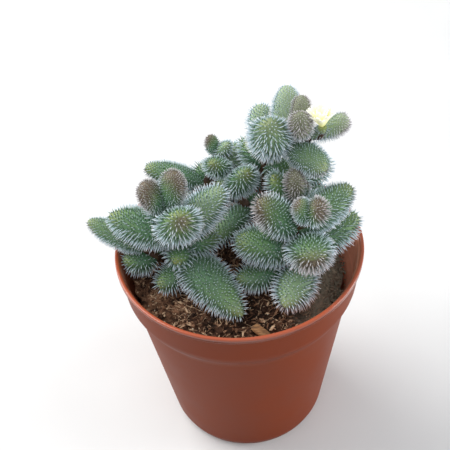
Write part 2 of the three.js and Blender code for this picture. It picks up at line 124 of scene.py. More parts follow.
def add_piece(name, points, faces, material, replaced=(), shades=(), smooth=True):
    """A mesh object from points in millimetres and arrays of triangles or quads. A shade is a value for each
    point, or one for all of them."""
    mesh = bpy.data.meshes.new(name)
    points = np.asarray(points, dtype=np.float32) * MM
    corners = np.concatenate([np.asarray(part).ravel() for part in faces])
    sizes = np.concatenate([np.full(len(part), len(part[0])) for part in faces])
    mesh.vertices.add(len(points))
    mesh.vertices.foreach_set("co", points.ravel())
    mesh.loops.add(len(corners))
    mesh.loops.foreach_set("vertex_index", corners.astype(np.int32))
    mesh.polygons.add(len(sizes))
    mesh.polygons.foreach_set("loop_start", np.concatenate([[0], np.cumsum(sizes)[:-1]]).astype(np.int32))
    mesh.polygons.foreach_set("use_smooth", np.full(len(sizes), smooth))
    for shade, values in dict(shades).items():
        attribute = mesh.attributes.new(shade, "FLOAT", "POINT")
        attribute.data.foreach_set("value", np.full(len(points), values, dtype=np.float32))
    mesh.update(calc_edges=True)
    mesh.validate()
    mesh.materials.append(material)
    piece = bpy.data.objects.new(name, mesh)
    bpy.context.collection.objects.link(piece)
    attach(piece, "root")
    if replaced:
        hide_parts(*replaced)
    return piece


def rounded(corners, steps=5):
    """An outline of radius and height whose corners are turned on short curves."""
    outline = [Vector(corners[0][:2])]
    for before, corner, after in zip(corners, corners[1:], corners[2:]):
        here = Vector(corner[:2])
        back = Vector(before[:2]) - here
        on = Vector(after[:2]) - here
        start = here + back.normalized() * min(corner[2], back.length * 0.45)
        end = here + on.normalized() * min(corner[2], on.length * 0.45)
        for i in range(steps + 1):
            t = i / steps
            outline.append(start * (1 - t) ** 2 + here * (2 * t * (1 - t)) + end * t ** 2)
    outline.append(Vector(corners[-1][:2]))
    return outline


def grid_faces(rings, sides):
    """Quads of a skin of rings that follow each other, closed round."""
    ring = np.arange(rings - 1)[:, None] * sides
    k = np.arange(sides)[None, :]
    on = (k + 1) % sides
    return np.stack([ring + k, ring + on, ring + sides + on, ring + sides + k], -1).reshape(-1, 4)


def closed_faces(rings, sides):
    """Faces of such a skin with a fan at each end, to the two points that come after its rings."""
    count = rings * sides
    last = count - sides
    k = np.arange(sides)
    on = (k + 1) % sides
    start_fan = np.stack([np.full(sides, count), on, k], -1)
    end_fan = np.stack([np.full(sides, count + 1), last + k, last + on], -1)
    return [grid_faces(rings, sides), start_fan, end_fan]


def revolved(outline, sides):
    """Points and faces of an outline turned round the Z axis. Both its ends lie on that axis."""
    outline = np.array([tuple(p) for p in outline], dtype=float)
    inner = outline[1:-1]
    turns = np.arange(sides) * 2 * math.pi / sides
    reach, height = inner[:, 0, None], inner[:, 1, None]
    rings = np.stack([reach * np.cos(turns), reach * np.sin(turns), height + 0 * turns], -1).reshape(-1, 3)
    ends = np.array([[0, 0, outline[0][1]], [0, 0, outline[-1][1]]])
    return np.concatenate([rings, ends]), closed_faces(len(inner), sides)


def cut_away(piece, cutters):
    """Cuts plain solids out of a piece, and removes them."""
    for cutter in cutters:
        cut = piece.modifiers.new("cut", "BOOLEAN")
        cut.operation = "DIFFERENCE"
        cut.object = cutter
        cut.solver = "EXACT"
    graph = bpy.context.evaluated_depsgraph_get()
    carved = bpy.data.meshes.new_from_object(piece.evaluated_get(graph))
    piece.modifiers.clear()
    piece.data = carved
    for cutter in cutters:
        bpy.data.objects.remove(cutter, do_unlink=True)


# Injection-moulded polypropylene, terracotta brown: a satin skin with a faint grain of 0.25 mm and long, slow
# changes of sheen. The lip is glossier, and so thin that light comes through it: its top edge is painted a
# brighter orange for that light. The inner wall is painted paler on the right, where light comes through it,
# and the step under the collar is painted a little darker, as painted shade under the collar.
POT_GRAIN = 0.25
POT_CLOUDS = 14.0
# Heights between which the lip's gloss and its painted glow of light set in, and the middle and half the
# height of the band of painted shade on the step.
GLOSS_HEIGHTS = (50.8, 51.2)
LIP_GLOW_HEIGHTS = (51.9, POT_HEIGHT)
STEP_MIDDLE = 42.6
STEP_HALF = 1.3
# How far right of the middle the inner wall is at its palest.
LIT_REACH = 20.0
# The skin's level normal times its place is below nothing where it faces the pot's axis. Past this value,
# which the whole inner wall is, it counts as inside.
FACING_IN = -10.0
polypropylene, pot_surface, place = new_material(
    "moulded_polypropylene", "pot_plastic",
    {"IOR": 1.49, "Specular IOR Level": 0.12, "Coat Roughness": 0.14})
height = add_node(polypropylene, "ShaderNodeSeparateXYZ", (), {"Vector": place})
clouds = add_node(
    polypropylene, "ShaderNodeTexNoise", {"Scale": 1 / (POT_CLOUDS * MM), "Detail": 3.0}, {"Vector": place})
wall_colour = add_node(
    polypropylene, "ShaderNodeValToRGB", {"Stops": [(0.3, "#732f11"), (0.7, "#7a3314")]}, {"Fac": clouds})
level_normal = add_node(
    polypropylene, "ShaderNodeVectorMath", {"operation": "MULTIPLY", 1: (1, 1, 0)}, {0: (place, "Normal")})
outward = add_node(
    polypropylene, "ShaderNodeVectorMath", {"operation": "DOT_PRODUCT"}, {0: level_normal, 1: place})
sunlit_side = add_node(
    polypropylene, "ShaderNodeMapRange", {"From Max": LIT_REACH * MM, "To Min": 0.15},
    {"Value": (height, "X")})
inside = add_node(
    polypropylene, "ShaderNodeMapRange", {"From Max": FACING_IN * MM},
    {"Value": (outward, "Value"), "To Max": sunlit_side})
lit_through = add_node(
    polypropylene, "ShaderNodeMix", {"data_type": "RGBA", "B": "#ffa98c"},
    {"Factor": inside, "A": wall_colour})
# Painted shade: a band round the step under the collar is drawn darker, for the shade of the collar.
step = add_node(
    polypropylene, "ShaderNodeMath", {"operation": "COMPARE", 1: STEP_MIDDLE * MM, 2: STEP_HALF * MM},
    {0: (height, "Z")})
painted_collar_shade = add_node(polypropylene, "ShaderNodeMath", {"operation": "MULTIPLY", 1: 0.15}, {0: step})
shaded_under_collar = add_node(
    polypropylene, "ShaderNodeMix", {"data_type": "RGBA", "B": "#431a0a"},
    {"Factor": painted_collar_shade, "A": lit_through})
lip_glow, gloss = (
    add_node(polypropylene, "ShaderNodeMapRange", {"From Min": low * MM, "From Max": high * MM},
             {"Value": (height, "Z")})
    for low, high in (LIP_GLOW_HEIGHTS, GLOSS_HEIGHTS))
# Painted light: above the lip's glow height the colour turns a brighter orange, for light through the thin
# lip.
pot_colour = add_node(
    polypropylene, "ShaderNodeMix", {"data_type": "RGBA", "B": "#aa5030"},
    {"Factor": lip_glow, "A": shaded_under_collar})
pot_sheen = add_node(
    polypropylene, "ShaderNodeMapRange", {"From Min": 0.3, "From Max": 0.7, "To Min": 0.42, "To Max": 0.52},
    {"Value": clouds})
grain = add_node(
    polypropylene, "ShaderNodeTexNoise", {"Scale": 1 / (POT_GRAIN * MM), "Detail": 2.0}, {"Vector": place})
pot_relief = add_node(
    polypropylene, "ShaderNodeBump", {"Strength": 0.05, "Distance": 0.05 * MM}, {"Height": grain})
add_node(
    polypropylene, pot_surface, (),
    {"Base Color": pot_colour, "Roughness": pot_sheen, "Normal": pot_relief, "Coat Weight": gloss})

pot = add_piece("pot_shell", *revolved(rounded(POT_CORNERS), POT_WALL_SIDES), polypropylene, ["pot"])
cutters = []
for k in range(DRAIN_HOLES):
    turn = Matrix.Rotation(2 * math.pi * (k + 0.5) / DRAIN_HOLES, 4, "Z")
    bpy.ops.mesh.primitive_cylinder_add(vertices=32, radius=DRAIN_RADIUS * MM, depth=4 * POT_FLOOR * MM)
    bpy.context.object.matrix_world = turn @ Matrix.Translation((DRAIN_RING * MM, 0, 0))
    cutters.append(bpy.context.object)
    reach = RIM_RADIUS - CHANNEL_START
    bpy.ops.mesh.primitive_cube_add(size=1)
    middle = Matrix.Translation(((CHANNEL_START + reach / 2) * MM, 0, 0))
    channel = Matrix.Diagonal((reach * MM, CHANNEL_WIDTH * MM, 2 * CHANNEL_DEPTH * MM, 1))
    bpy.context.object.matrix_world = turn @ middle @ channel
    cutters.append(bpy.context.object)
bpy.context.view_layer.update()
cut_away(pot, cutters)

# The peat.
# It is a plug of peat compost that has dried and shrunk from the wall of the pot, with a crumbly top. Crumbs,
# tan flakes and fibres, pale grit and a chip of bark lie loose on it.

SOIL_MIDDLE = 46.7
SOIL_FALL = 1.6
SOIL_REACH = 24.2
# The clods on its top: how high and how far apart they are.
CLODS = [(0.28, 5.0), (0.24, 2.0), (0.16, 0.9)]
# Where the edge has sunk: between two turns about +Z from +X, in radians, with an ease before and after them.
# Then how wide that edge is, how much it sank and shrank, and from what height up the plug's side sank too.
SUNKEN_FROM = -0.45
SUNKEN_TO = 0.35
SUNKEN_EASE = 0.35
SUNKEN_WIDTH = 5.0
SUNKEN_DROP = 2.4
SUNKEN_SHRINK = 0.045
SUNKEN_ABOVE = 39.0
# The upper edge of the plug's side crumbles, out from this radius and up from this height.
CRUMBLING_RADIUS = 22.8
CRUMBLING_HEIGHT = 41.5
CRUMBLING_PITCH = 5.0
CRUMBLING_SHARE = 0.012
PLUG_OUTLINE = [(0, 1.6), (16.3, 1.6), (17.6, 3.8), (22.9, 39.8), (23.1, 42.0), (23.6, 43.7)]
PLUG_SIDES = 280
PLUG_TOP_RINGS = 110
CRUMBS = 2600
FLAKES = 1400
FIBRES = 1900
GRITS = 120
FIBRE_SIDES = 4
FIBRE_RINGS = 5
dice = np.random.default_rng(31)


def bumps(x, y, pitch, seed):
    """A smooth random height of about -1 to 1, with lumps that are pitch millimetres apart."""
    angles = np.random.default_rng(seed).uniform(0, 2 * math.pi, (9, 2))
    waves = [np.sin((x * math.cos(a) + y * math.sin(a)) * 2 * math.pi / pitch + b) for a, b in angles]
    return sum(waves) / 3.2


def smooth_step(low, high, value):
    t = np.clip((value - low) / (high - low), 0, 1)
    return t * t * (3 - 2 * t)


def sunken(x, y):
    """How far the peat has sunk and shrunk at its edge on the right, from 0 to 1."""
    turn = np.arctan2(y, x)
    side = smooth_step(SUNKEN_FROM - SUNKEN_EASE, SUNKEN_FROM, turn)
    side = side * smooth_step(SUNKEN_TO + SUNKEN_EASE, SUNKEN_TO, turn)
    return side * smooth_step(SOIL_REACH - SUNKEN_WIDTH, SOIL_REACH, np.hypot(x, y))


def soil_top(x, y):
    """The height of the peat's top, a low mound with clods on it."""
    top = SOIL_MIDDLE - SOIL_FALL * (np.hypot(x, y) / SOIL_REACH) ** 2 - SUNKEN_DROP * sunken(x, y)
    for seed, (height, pitch) in enumerate(CLODS, 1):
        top = top + height * bumps(x, y, pitch, seed)
    return top


def on_soil(count, rise=0.0):
    """Random places on the peat's top, or that far above it."""
    reach = SOIL_REACH * np.sqrt(dice.uniform(0, 0.985, count))
    turn = dice.uniform(0, 2 * math.pi, count)
    x, y = reach * np.cos(turn), reach * np.sin(turn)
    return np.stack([x, y, soil_top(x, y) + rise], -1)


def turned(x, y, z, turn):
    """Points turned about the Z axis."""
    return np.stack([x * np.cos(turn) - y * np.sin(turn), x * np.sin(turn) + y * np.cos(turn), z], -1)


def lumps(places, sizes, stretch):
    """Points and faces of small uneven lumps, each a dented ball of 20 faces, stretched along three axes."""
    ball = bmesh.new()
    bmesh.ops.create_icosphere(ball, subdivisions=1, radius=1)
    corners = np.array([v.co[:] for v in ball.verts])
    sides = np.array([[v.index for v in f.verts] for f in ball.faces])
    ball.free()
    count = len(places)
    dents = dice.uniform(0.55, 1.25, (count, len(corners), 1))
    x, y, z = np.moveaxis(corners * dents * sizes[:, None, None] * stretch, -1, 0)
    points = turned(x, y, z + 0.3 * x, dice.uniform(0, 2 * math.pi, (count, 1)))
    faces = sides + (np.arange(count) * len(corners))[:, None, None]
    return (points + places[:, None]).reshape(-1, 3), [faces.reshape(-1, 3)]


def strands(places, lengths, radii):
    """Points and faces of thin fibres, each bent in a flat arc over the ground."""
    count = len(places)
    turn = dice.uniform(0, 2 * math.pi, count)
    ahead = np.stack([np.cos(turn), np.sin(turn), dice.uniform(-0.12, 0.12, count)], -1)[:, None]
    aside = np.stack([-np.sin(turn), np.cos(turn), 0 * turn], -1)[:, None]
    t = np.linspace(0, 1, FIBRE_RINGS)[None, :, None]
    bow = dice.uniform(-0.8, 0.8, (count, 1, 1)) * (t - t ** 2)
    centre = places[:, None] + lengths[:, None, None] * (ahead * (t - 0.5) + aside * bow)
    girth = (radii[:, None, None] * np.sqrt(1.05 - (2 * t - 1) ** 4))[..., None]
    angle = (np.arange(FIBRE_SIDES) * 2 * math.pi / FIBRE_SIDES)[:, None]
    ring = aside[:, :, None] * np.cos(angle) + np.array([0, 0, 1]) * np.sin(angle)
    points = (centre[:, :, None] + girth * ring).reshape(-1, 3)
    last = FIBRE_SIDES * (FIBRE_RINGS - 1)
    quads = np.concatenate([
        grid_faces(FIBRE_RINGS, FIBRE_SIDES)[:, ::-1],
        [np.arange(FIBRE_SIDES), last + np.arange(FIBRE_SIDES)[::-1]]])
    faces = quads + (np.arange(count) * FIBRE_SIDES * FIBRE_RINGS)[:, None, None]
    return points, [faces.reshape(-1, 4)]


# Dry peat: matt, nearly black in its cracks and tan on its fibres, with colour that changes from crumb to
# crumb by the tone that each one carries. It is darker in patches where it is damp, and darker away from its
# left edge, partly for damp and partly as painted shade from the plant above it. On the right a thin, dry,
# grey-green film of moss evens its colour out, and is drawn pale enough to be partly painted light, which
# lifts the shade of the wall and the leaves there.
PEAT_MOTTLE = 1.1
DAMP_PATCH = 4.5
# How far to the right it goes from dry to damp and painted shade, and from bare to mossy and painted light.
DAMP_AND_SHADE_REACH = (-15, -6)
MOSS_AND_LIGHT_REACH = (9, 16)
peat, peat_surface, place = new_material("dry_peat", "peat", {"Roughness": 0.95, "Specular IOR Level": 0.2})
tone = add_node(peat, "ShaderNodeAttribute", {"attribute_name": "tone"})
mottle = add_node(
    peat, "ShaderNodeTexNoise", {"Scale": 1 / (PEAT_MOTTLE * MM), "Detail": 5.0, "Roughness": 0.65},
    {"Vector": place})
mottled = add_node(peat, "ShaderNodeMath", {"operation": "ADD"}, {0: (tone, "Fac"), 1: mottle})
sideways = add_node(peat, "ShaderNodeSeparateXYZ", (), {"Vector": place})
# Damp, and partly painted shade: the peat is drawn darker away from its left edge.
damp_and_shade_side = add_node(
    peat, "ShaderNodeMapRange",
    {"From Min": DAMP_AND_SHADE_REACH[0] * MM, "From Max": DAMP_AND_SHADE_REACH[1] * MM, "To Min": 0.22, "To Max": 0.46},
    {"Value": (sideways, "X")})
dampened_and_shaded = add_node(peat, "ShaderNodeMath", {"operation": "SUBTRACT"}, {0: mottled, 1: damp_and_shade_side})
damping = add_node(
    peat, "ShaderNodeTexNoise", {"Scale": 1 / (DAMP_PATCH * MM), "Detail": 2.0}, {"Vector": place})
damp_patches = add_node(
    peat, "ShaderNodeMapRange", {"From Min": 0.42, "From Max": 0.62, "To Max": 0.24}, {"Value": damping})
shade = add_node(peat, "ShaderNodeMath", {"operation": "SUBTRACT"}, {0: dampened_and_shaded, 1: damp_patches})
brown = add_node(
    peat, "ShaderNodeValToRGB",
    {"Stops": [(0.1, "#20150f"), (0.36, "#452f23"), (0.6, "#84614a"), (0.85, "#c9ab8c")]}, {"Fac": shade})
# Moss, and partly painted light: on the right the colour goes to a pale grey-green that lifts the shade
# there.
moss_and_light_side = add_node(
    peat, "ShaderNodeMapRange",
    {"From Min": MOSS_AND_LIGHT_REACH[0] * MM, "From Max": MOSS_AND_LIGHT_REACH[1] * MM, "To Max": 0.78},
    {"Value": (sideways, "X")})
peat_colour = add_node(
    peat, "ShaderNodeMix", {"data_type": "RGBA", "B": "#989080"}, {"Factor": moss_and_light_side, "A": brown})
peat_relief = add_node(peat, "ShaderNodeBump", {"Strength": 0.6, "Distance": 0.3 * MM}, {"Height": mottle})
add_node(peat, peat_surface, (), {"Base Color": peat_colour, "Normal": peat_relief})

top_rings = [(r, SOIL_MIDDLE) for r in np.linspace(SOIL_REACH, 0.2, PLUG_TOP_RINGS)]
plug, plug_faces = revolved(PLUG_OUTLINE + top_rings + [(0, SOIL_MIDDLE)], PLUG_SIDES)
on_top = plug[:, 2] >= SOIL_MIDDLE
plug[on_top, 2] = soil_top(plug[on_top, 0], plug[on_top, 1])
plug[:, :2] *= 1 - SUNKEN_SHRINK * sunken(plug[:, 0], plug[:, 1])[:, None]
upper_side = ~on_top & (plug[:, 2] > SUNKEN_ABOVE)
plug[upper_side, 2] -= SUNKEN_DROP * sunken(plug[upper_side, 0], plug[upper_side, 1])
crumbling = (np.hypot(plug[:, 0], plug[:, 1]) > CRUMBLING_RADIUS) & (plug[:, 2] > CRUMBLING_HEIGHT)
round_edge = np.arctan2(plug[:, 1], plug[:, 0]) * SOIL_REACH
crumbled = bumps(round_edge, plug[:, 2], CRUMBLING_PITCH, 5)
plug[crumbling, :2] *= 1 + CRUMBLING_SHARE * crumbled[crumbling, None]
add_piece("peat_plug", plug, plug_faces, peat, ["soil"], {"tone": 0.3})

crumb_sizes = dice.uniform(0.14, 0.42, CRUMBS) * dice.choice([1, 1, 1, 1.7], CRUMBS)
crumbs, crumb_faces = lumps(on_soil(CRUMBS, 0.05), crumb_sizes, (1, 0.75, 0.7))
crumb_tone = np.repeat(0.85 * dice.beta(2.0, 3.6, CRUMBS), len(crumbs) // CRUMBS)
add_piece("peat_crumbs", crumbs, crumb_faces, peat, (), {"tone": crumb_tone})

flakes, flake_faces = lumps(on_soil(FLAKES, 0.15), dice.uniform(0.35, 0.95, FLAKES), (1, 0.34, 0.18))
flake_tone = np.repeat(dice.beta(2.6, 2.0, FLAKES), len(flakes) // FLAKES)
add_piece("peat_flakes", flakes, flake_faces, peat, (), {"tone": flake_tone}, smooth=False)

fibre_places = on_soil(FIBRES, 0.2)
fibre_places[:, :2] *= (SOIL_REACH - 1.6) / SOIL_REACH
fibres, fibre_faces = strands(fibre_places, dice.uniform(0.8, 3.2, FIBRES), dice.uniform(0.04, 0.085, FIBRES))
fibre_tone = np.repeat(dice.uniform(0.35, 0.98, FIBRES), FIBRE_SIDES * FIBRE_RINGS)
add_piece("peat_fibres", fibres, fibre_faces, peat, (), {"tone": fibre_tone})

# Perlite and quartz grit: small matt grains, dusty white to tan.
DUST_PATCH = 0.9
grit, grit_surface, place = new_material("perlite_grit", "peat", {"Roughness": 0.85})
dust = add_node(grit, "ShaderNodeTexNoise", {"Scale": 1 / (DUST_PATCH * MM)}, {"Vector": place})
grit_colour = add_node(
    grit, "ShaderNodeValToRGB", {"Stops": [(0.3, "#8d7a62"), (0.7, "#d6cdb8")]}, {"Fac": dust})
add_node(grit, grit_surface, (), {"Base Color": grit_colour})
grains, grain_faces = lumps(on_soil(GRITS, 0.1), dice.uniform(0.1, 0.26, GRITS), (1, 0.75, 0.8))
add_piece("peat_grit", grains, grain_faces, grit, smooth=False)

# Pine bark: a flat split chip, tan, with dark grain lines 0.35 mm apart along it.
BARK_GRAIN = 0.35
CHIP_PLACE = (3.6, -20.6)
CHIP_SIZE = (4.4, 1.9, 0.7)
CHIP_TURN = -0.75
bark, bark_surface, place = new_material("pine_bark", "peat", {"Roughness": 0.8})
along_grain = add_node(
    bark, "ShaderNodeMapping", {"Rotation": (0, 0, -CHIP_TURN), "Scale": (0.15, 1, 1)}, {"Vector": place})
lines = add_node(
    bark, "ShaderNodeTexNoise", {"Scale": 1 / (BARK_GRAIN * MM), "Detail": 3.0}, {"Vector": along_grain})
bark_colour = add_node(
    bark, "ShaderNodeValToRGB", {"Stops": [(0.35, "#6d4c31"), (0.6, "#a5794f")]}, {"Fac": lines})
bark_relief = add_node(bark, "ShaderNodeBump", {"Strength": 0.5, "Distance": 0.1 * MM}, {"Height": lines})
add_node(bark, bark_surface, (), {"Base Color": bark_colour, "Normal": bark_relief})
slab = bmesh.new()
bmesh.ops.create_cube(slab, size=1)
bmesh.ops.subdivide_edges(slab, edges=slab.edges[:], cuts=5, use_grid_fill=True)
chip = np.array([v.co[:] for v in slab.verts])
chip_faces = np.array([[v.index for v in f.verts] for f in slab.faces])
slab.free()
chip[:, 1] *= 1 - 0.55 * np.abs(chip[:, 0] + 0.1) ** 1.5
splinters = [bumps(chip[:, 1] * 6, chip[:, 2] * 6 + k, 1.7, 60 + k) for k in range(3)]
chip = chip * CHIP_SIZE + 0.08 * np.stack(splinters, -1)
turn = Matrix.Rotation(CHIP_TURN, 3, "Z") @ Matrix.Rotation(0.12, 3, "Y")
chip = chip @ np.array(turn).T + (*CHIP_PLACE, soil_top(*CHIP_PLACE) + 0.35)
add_piece("peat_chip", chip, [chip_faces], bark)

# The stems.
# Each shoot is one living piece: a short brown stem that stands in the peat and carries opposite pairs of fat
# leaves, each pair turned about a quarter from the one below.


def leaf(*form, **traits):
    """A leaf's form and what sets it apart."""
    return form, traits


# The shoots: where each one roots, and its joints from the lowest up. A leaf is given by its turn about +Z
# from +X and its rise, in degrees, its length and its width, and then how blunt its tip is, from 1.5 for a
# pointed one, how short its bristles still are (down, to 1), how far brown reaches from its tip (from 0.3 or
# so, and all over past 1), and how much paler it and its bristles are drawn (frost), partly for wax
# and partly as painted light on leaves that stand in brighter light.
SHOOTS = {
    "left": ((-9, -1), [
        ((-11.5, -3, 50), [leaf(-140, -8, 8.4, 4.9)]),
        ((-11.5, -3.5, 52.5), [leaf(-51.5, -13.5, 18.6, 8.2, blunt=1.5, frost=0.1), leaf(112, 12, 9, 6)]),
        ((-12, -3, 55.5), [leaf(-108, -4, 5, 4.2), leaf(22, -3, 8, 5)]),
        ((-13, -2.5, 58.5), [leaf(168, 16, 15.1, 7.2, blunt=1.8), leaf(33, 27, 14, 7, frost=0.5)]),
        ((-13.2, -3, 60.5), [leaf(-70, 57, 10, 7.6, brown=0.5), leaf(115, 45, 9, 6.5)]),
        ((-15, -0.5, 63.5), [
            leaf(170, 62, 8.5, 5.6, blunt=2.5, down=0.85, brown=1.08),
            leaf(30, 70, 9.8, 5.8, blunt=2.5, down=0.85, brown=0.98),
        ]),
    ]),
    "far_left": ((-17, 3), [
        ((-18.5, -1, 50.8), [leaf(-168, 6, 7.3, 5.2, brown=0.1), leaf(95, 8, 6.3, 5)]),
        ((-20.5, -1, 54), [leaf(163.5, 24.3, 13.7, 4.9, down=0.65, brown=0.55, frost=0.2)]),
    ]),
    "right": ((9, -4), [
        ((9.2, -6.9, 50), [leaf(193, 2, 10.5, 5, brown=0.25)]),
        ((13.5, -7.5, 51), [leaf(-116, -6, 11, 7.2, blunt=1.6, brown=0.5, frost=0.5), leaf(50, 8, 8, 5.6)]),
        ((13, -5, 54.5), [leaf(179, 13.5, 14, 7.6), leaf(22, 14, 14.6, 7, brown=0.4, frost=0.1)]),
        ((14, -5.5, 57.5), [leaf(-85, 20, 10.5, 7.6, brown=0.75), leaf(95, 20, 7, 5.4)]),
        ((12.2, -5.4, 60.5), [
            leaf(167, 42, 10.6, 6.8, down=0.2, brown=0.9),
            leaf(30, 18, 15.1, 7, down=0.35, brown=0.6, frost=0.1),
        ]),
        ((14.5, -6.3, 63.5), [
            leaf(-10, 64, 5.9, 4.8, blunt=2.4, down=0.5, brown=1.0),
            leaf(165, 74, 5.7, 4.4, down=0.9, brown=0.7),
        ]),
    ]),
    "right_back": ((12, 5), [
        ((12, 6, 53.5), [leaf(-70, 5, 5, 4.5), leaf(80, 8, 5.5, 4.5)]),
        ((12.5, 5, 59), [leaf(172, 60, 8.5, 5, brown=0.2), leaf(-4, -2, 6.3, 4.8)]),
        ((13.4, 3, 61.4), [
            leaf(180, 87, 8, 4.9, blunt=2.2, down=0.75, brown=1.3, frost=0.3),
            leaf(60, 45, 4.5, 3.2, down=1, brown=1),
        ]),
    ]),
    "tall": ((7.5, 10), [
        ((7, 12.4, 64), [leaf(-22, 5, 7, 4.6), leaf(130, 25, 7, 5)]),
        ((8.5, 11.5, 68.5), [
            leaf(-95, 66, 12.9, 7.8, down=0.1, brown=0.1, frost=0.4),
            leaf(109, 51, 10.4, 6.4, down=0.3, frost=0.9),
        ]),
        ((12, 10, 71.5), [
            leaf(-46, -11, 10.6, 6.4, blunt=2.2, down=0.65, brown=0.5, frost=0.3),
            leaf(86, 58, 12.2, 6, down=0.7, brown=0.3, frost=1.1),
        ]),
        ((16, 10, 72.4), [
            leaf(-3, 30, 9.8, 4.6, blunt=3.2, down=0.6, brown=0.85, frost=0.9),
            leaf(175, 40, 5, 4),
        ]),
        ((14.6, 8.6, 74.2), [
            leaf(-98, 70, 8.6, 4.5, down=0.85, brown=1.15, frost=0.5),
            leaf(82, 58, 8.5, 3.7, blunt=2.3, down=0.85, brown=1.5, frost=0.6),
        ]),
    ]),
    "mid": ((1, 9), [
        ((2.3, 10.2, 53.5), [leaf(-135, -8, 12, 5.5, frost=0.15), leaf(45, 8, 4.5, 4)]),
        ((0, 12, 58), [leaf(-58, 58, 10, 6, down=0.3, brown=0.3)]),
    ]),
    "mid_back": ((-6, 12), [
        ((-6.5, 14.5, 58.5), [
            leaf(171, 15, 14.2, 5, blunt=2.3, down=0.4, brown=0.55, frost=0.1),
            leaf(90, 45, 4.3, 4.6),
        ]),
        ((-2.5, 16, 61), [leaf(-111, 46, 7.7, 5, down=0.5, brown=0.3), leaf(55, 12, 7.6, 6, frost=0.6)]),
        ((-3.6, 18, 63.5), [
            leaf(150, 72, 5, 3.4, down=1, brown=0.9),
            leaf(-25, 50, 5, 3.4, down=0.6, frost=0.6),
        ]),
    ]),
    "back_left": ((-12, 11), [
        ((-12.5, 11, 51), [leaf(100, 4, 9, 6.4), leaf(-85, 6, 6, 5)]),
        ((-13.5, 10.5, 54), [leaf(15, 14, 5.5, 4.5), leaf(190, 12, 7, 5.8)]),
    ]),
    "back_right": ((15, 15), [
        ((15, 15, 53.5), [leaf(95, 10, 8, 6), leaf(-20, 2, 6.3, 5, frost=0.2)]),
        ((15.5, 15.3, 57), [leaf(40, 8, 8.5, 6.2), leaf(-125, 20, 5, 4.5)]),
    ]),
    "back": ((4, 20), [
        ((4, 20, 52.5), [leaf(-165, 8, 9, 6.2), leaf(30, 6, 6.3, 5)]),
        ((4.5, 20.5, 56.5), [leaf(98, 30, 8, 6)]),
    ]),
}
STEM_FOOT = 38.5
STEM_COLLAR = 47.5
STEM_RADIUS = 1.25
STEM_TIP_RADIUS = 1.0
STEM_SIDES = 16
STEPS_PER_JOINT = 6
JOINT_SWELLING = 0.12


def stem_path(root, joints):
    return np.array([(*root, STEM_FOOT), (*root, STEM_COLLAR)] + [at for at, _ in joints], dtype=float)


def smooth_path(path, steps):
    """A curve through the points of a path."""
    path = np.asarray(path, dtype=float)
    held = np.concatenate([[2 * path[0] - path[1]], path, [2 * path[-1] - path[-2]]])
    curve = []
    for a, b, c, d in zip(held, held[1:], held[2:], held[3:]):
        for t in np.arange(steps) / steps:
            curve.append(0.5 * (2 * b + (c - a) * t + (2 * a - 5 * b + 4 * c - d) * t ** 2
                                + (3 * b - a - 3 * c + d) * t ** 3))
    return np.array(curve + [path[-1]])


def rod(path, radii, sides):
    """Points and faces of a round rod along a path, with closed ends."""
    along = np.gradient(path, axis=0)
    along /= np.linalg.norm(along, axis=1, keepdims=True)
    across = np.cross(along, (0.05, 1, 0))
    across /= np.linalg.norm(across, axis=1, keepdims=True)
    angle = (np.arange(sides) * 2 * math.pi / sides)[:, None]
    ring = across[:, None] * np.cos(angle) + np.cross(along, across)[:, None] * np.sin(angle)
    rings = (path[:, None] + np.asarray(radii)[:, None, None] * ring).reshape(-1, 3)
    return np.concatenate([rings, path[:1], path[-1:]]), closed_faces(len(path), sides)


# Stem bark: thin and half shiny, brown with green showing through in patches of 1.5 mm.
GREEN_PATCH = 1.5
stem_bark, stem_surface, place = new_material("stem_bark", "leaf", {"Roughness": 0.55})
greening = add_node(
    stem_bark, "ShaderNodeTexNoise", {"Scale": 1 / (GREEN_PATCH * MM), "Detail": 3.0}, {"Vector": place})
stem_colour = add_node(
    stem_bark, "ShaderNodeValToRGB", {"Stops": [(0.3, "#38241a"), (0.5, "#573b2a"), (0.68, "#565d3a")]},
    {"Fac": greening})
stem_relief = add_node(
    stem_bark, "ShaderNodeBump", {"Strength": 0.4, "Distance": 0.1 * MM}, {"Height": greening})
add_node(stem_bark, stem_surface, (), {"Base Color": stem_colour, "Normal": stem_relief})

for name, (root, joints) in SHOOTS.items():
    path = smooth_path(stem_path(root, joints), STEPS_PER_JOINT)
    radii = np.linspace(STEM_RADIUS, STEM_TIP_RADIUS, len(path))
    swelling = 1 + JOINT_SWELLING * np.cos(np.arange(len(path)) * 2 * math.pi / STEPS_PER_JOINT)
    add_piece(f"{name}_stem", *rod(path, radii * swelling, STEM_SIDES), stem_bark)

# The leaves.
# They are fat and full of water, flatter above than below and widest a little short of the middle. Grown ones
# are green with a yellower tip, and young ones are still brown at the tip, or all over.

WIDEST = 0.45
WIDEST_SHIFT = 0.14
BASE_WIDTH = 0.5
BASE_LOSS = 0.12
ROUND_TIP = 2.0
ABOVE = 0.36
BELOW = 0.44
# The skin's low lumps, and the channel along the upper face as a share of the leaf's width.
LUMP_HEIGHT = 0.05
LUMP_PITCH = 3.1
CHANNEL_SHARE = 0.16 / 7
# How much of a leaf's paling, for wax and partly as painted light, shows on its skin and on its bristles,
# and the darkest and lightest leaf's tone.
SKIN_WAX_AND_LIGHT = 0.75
BRISTLE_WAX_AND_LIGHT = 0.3
LEAF_TONES = (0.35, 0.65)
LEAF_RINGS = 30
LEAF_SIDES = 32


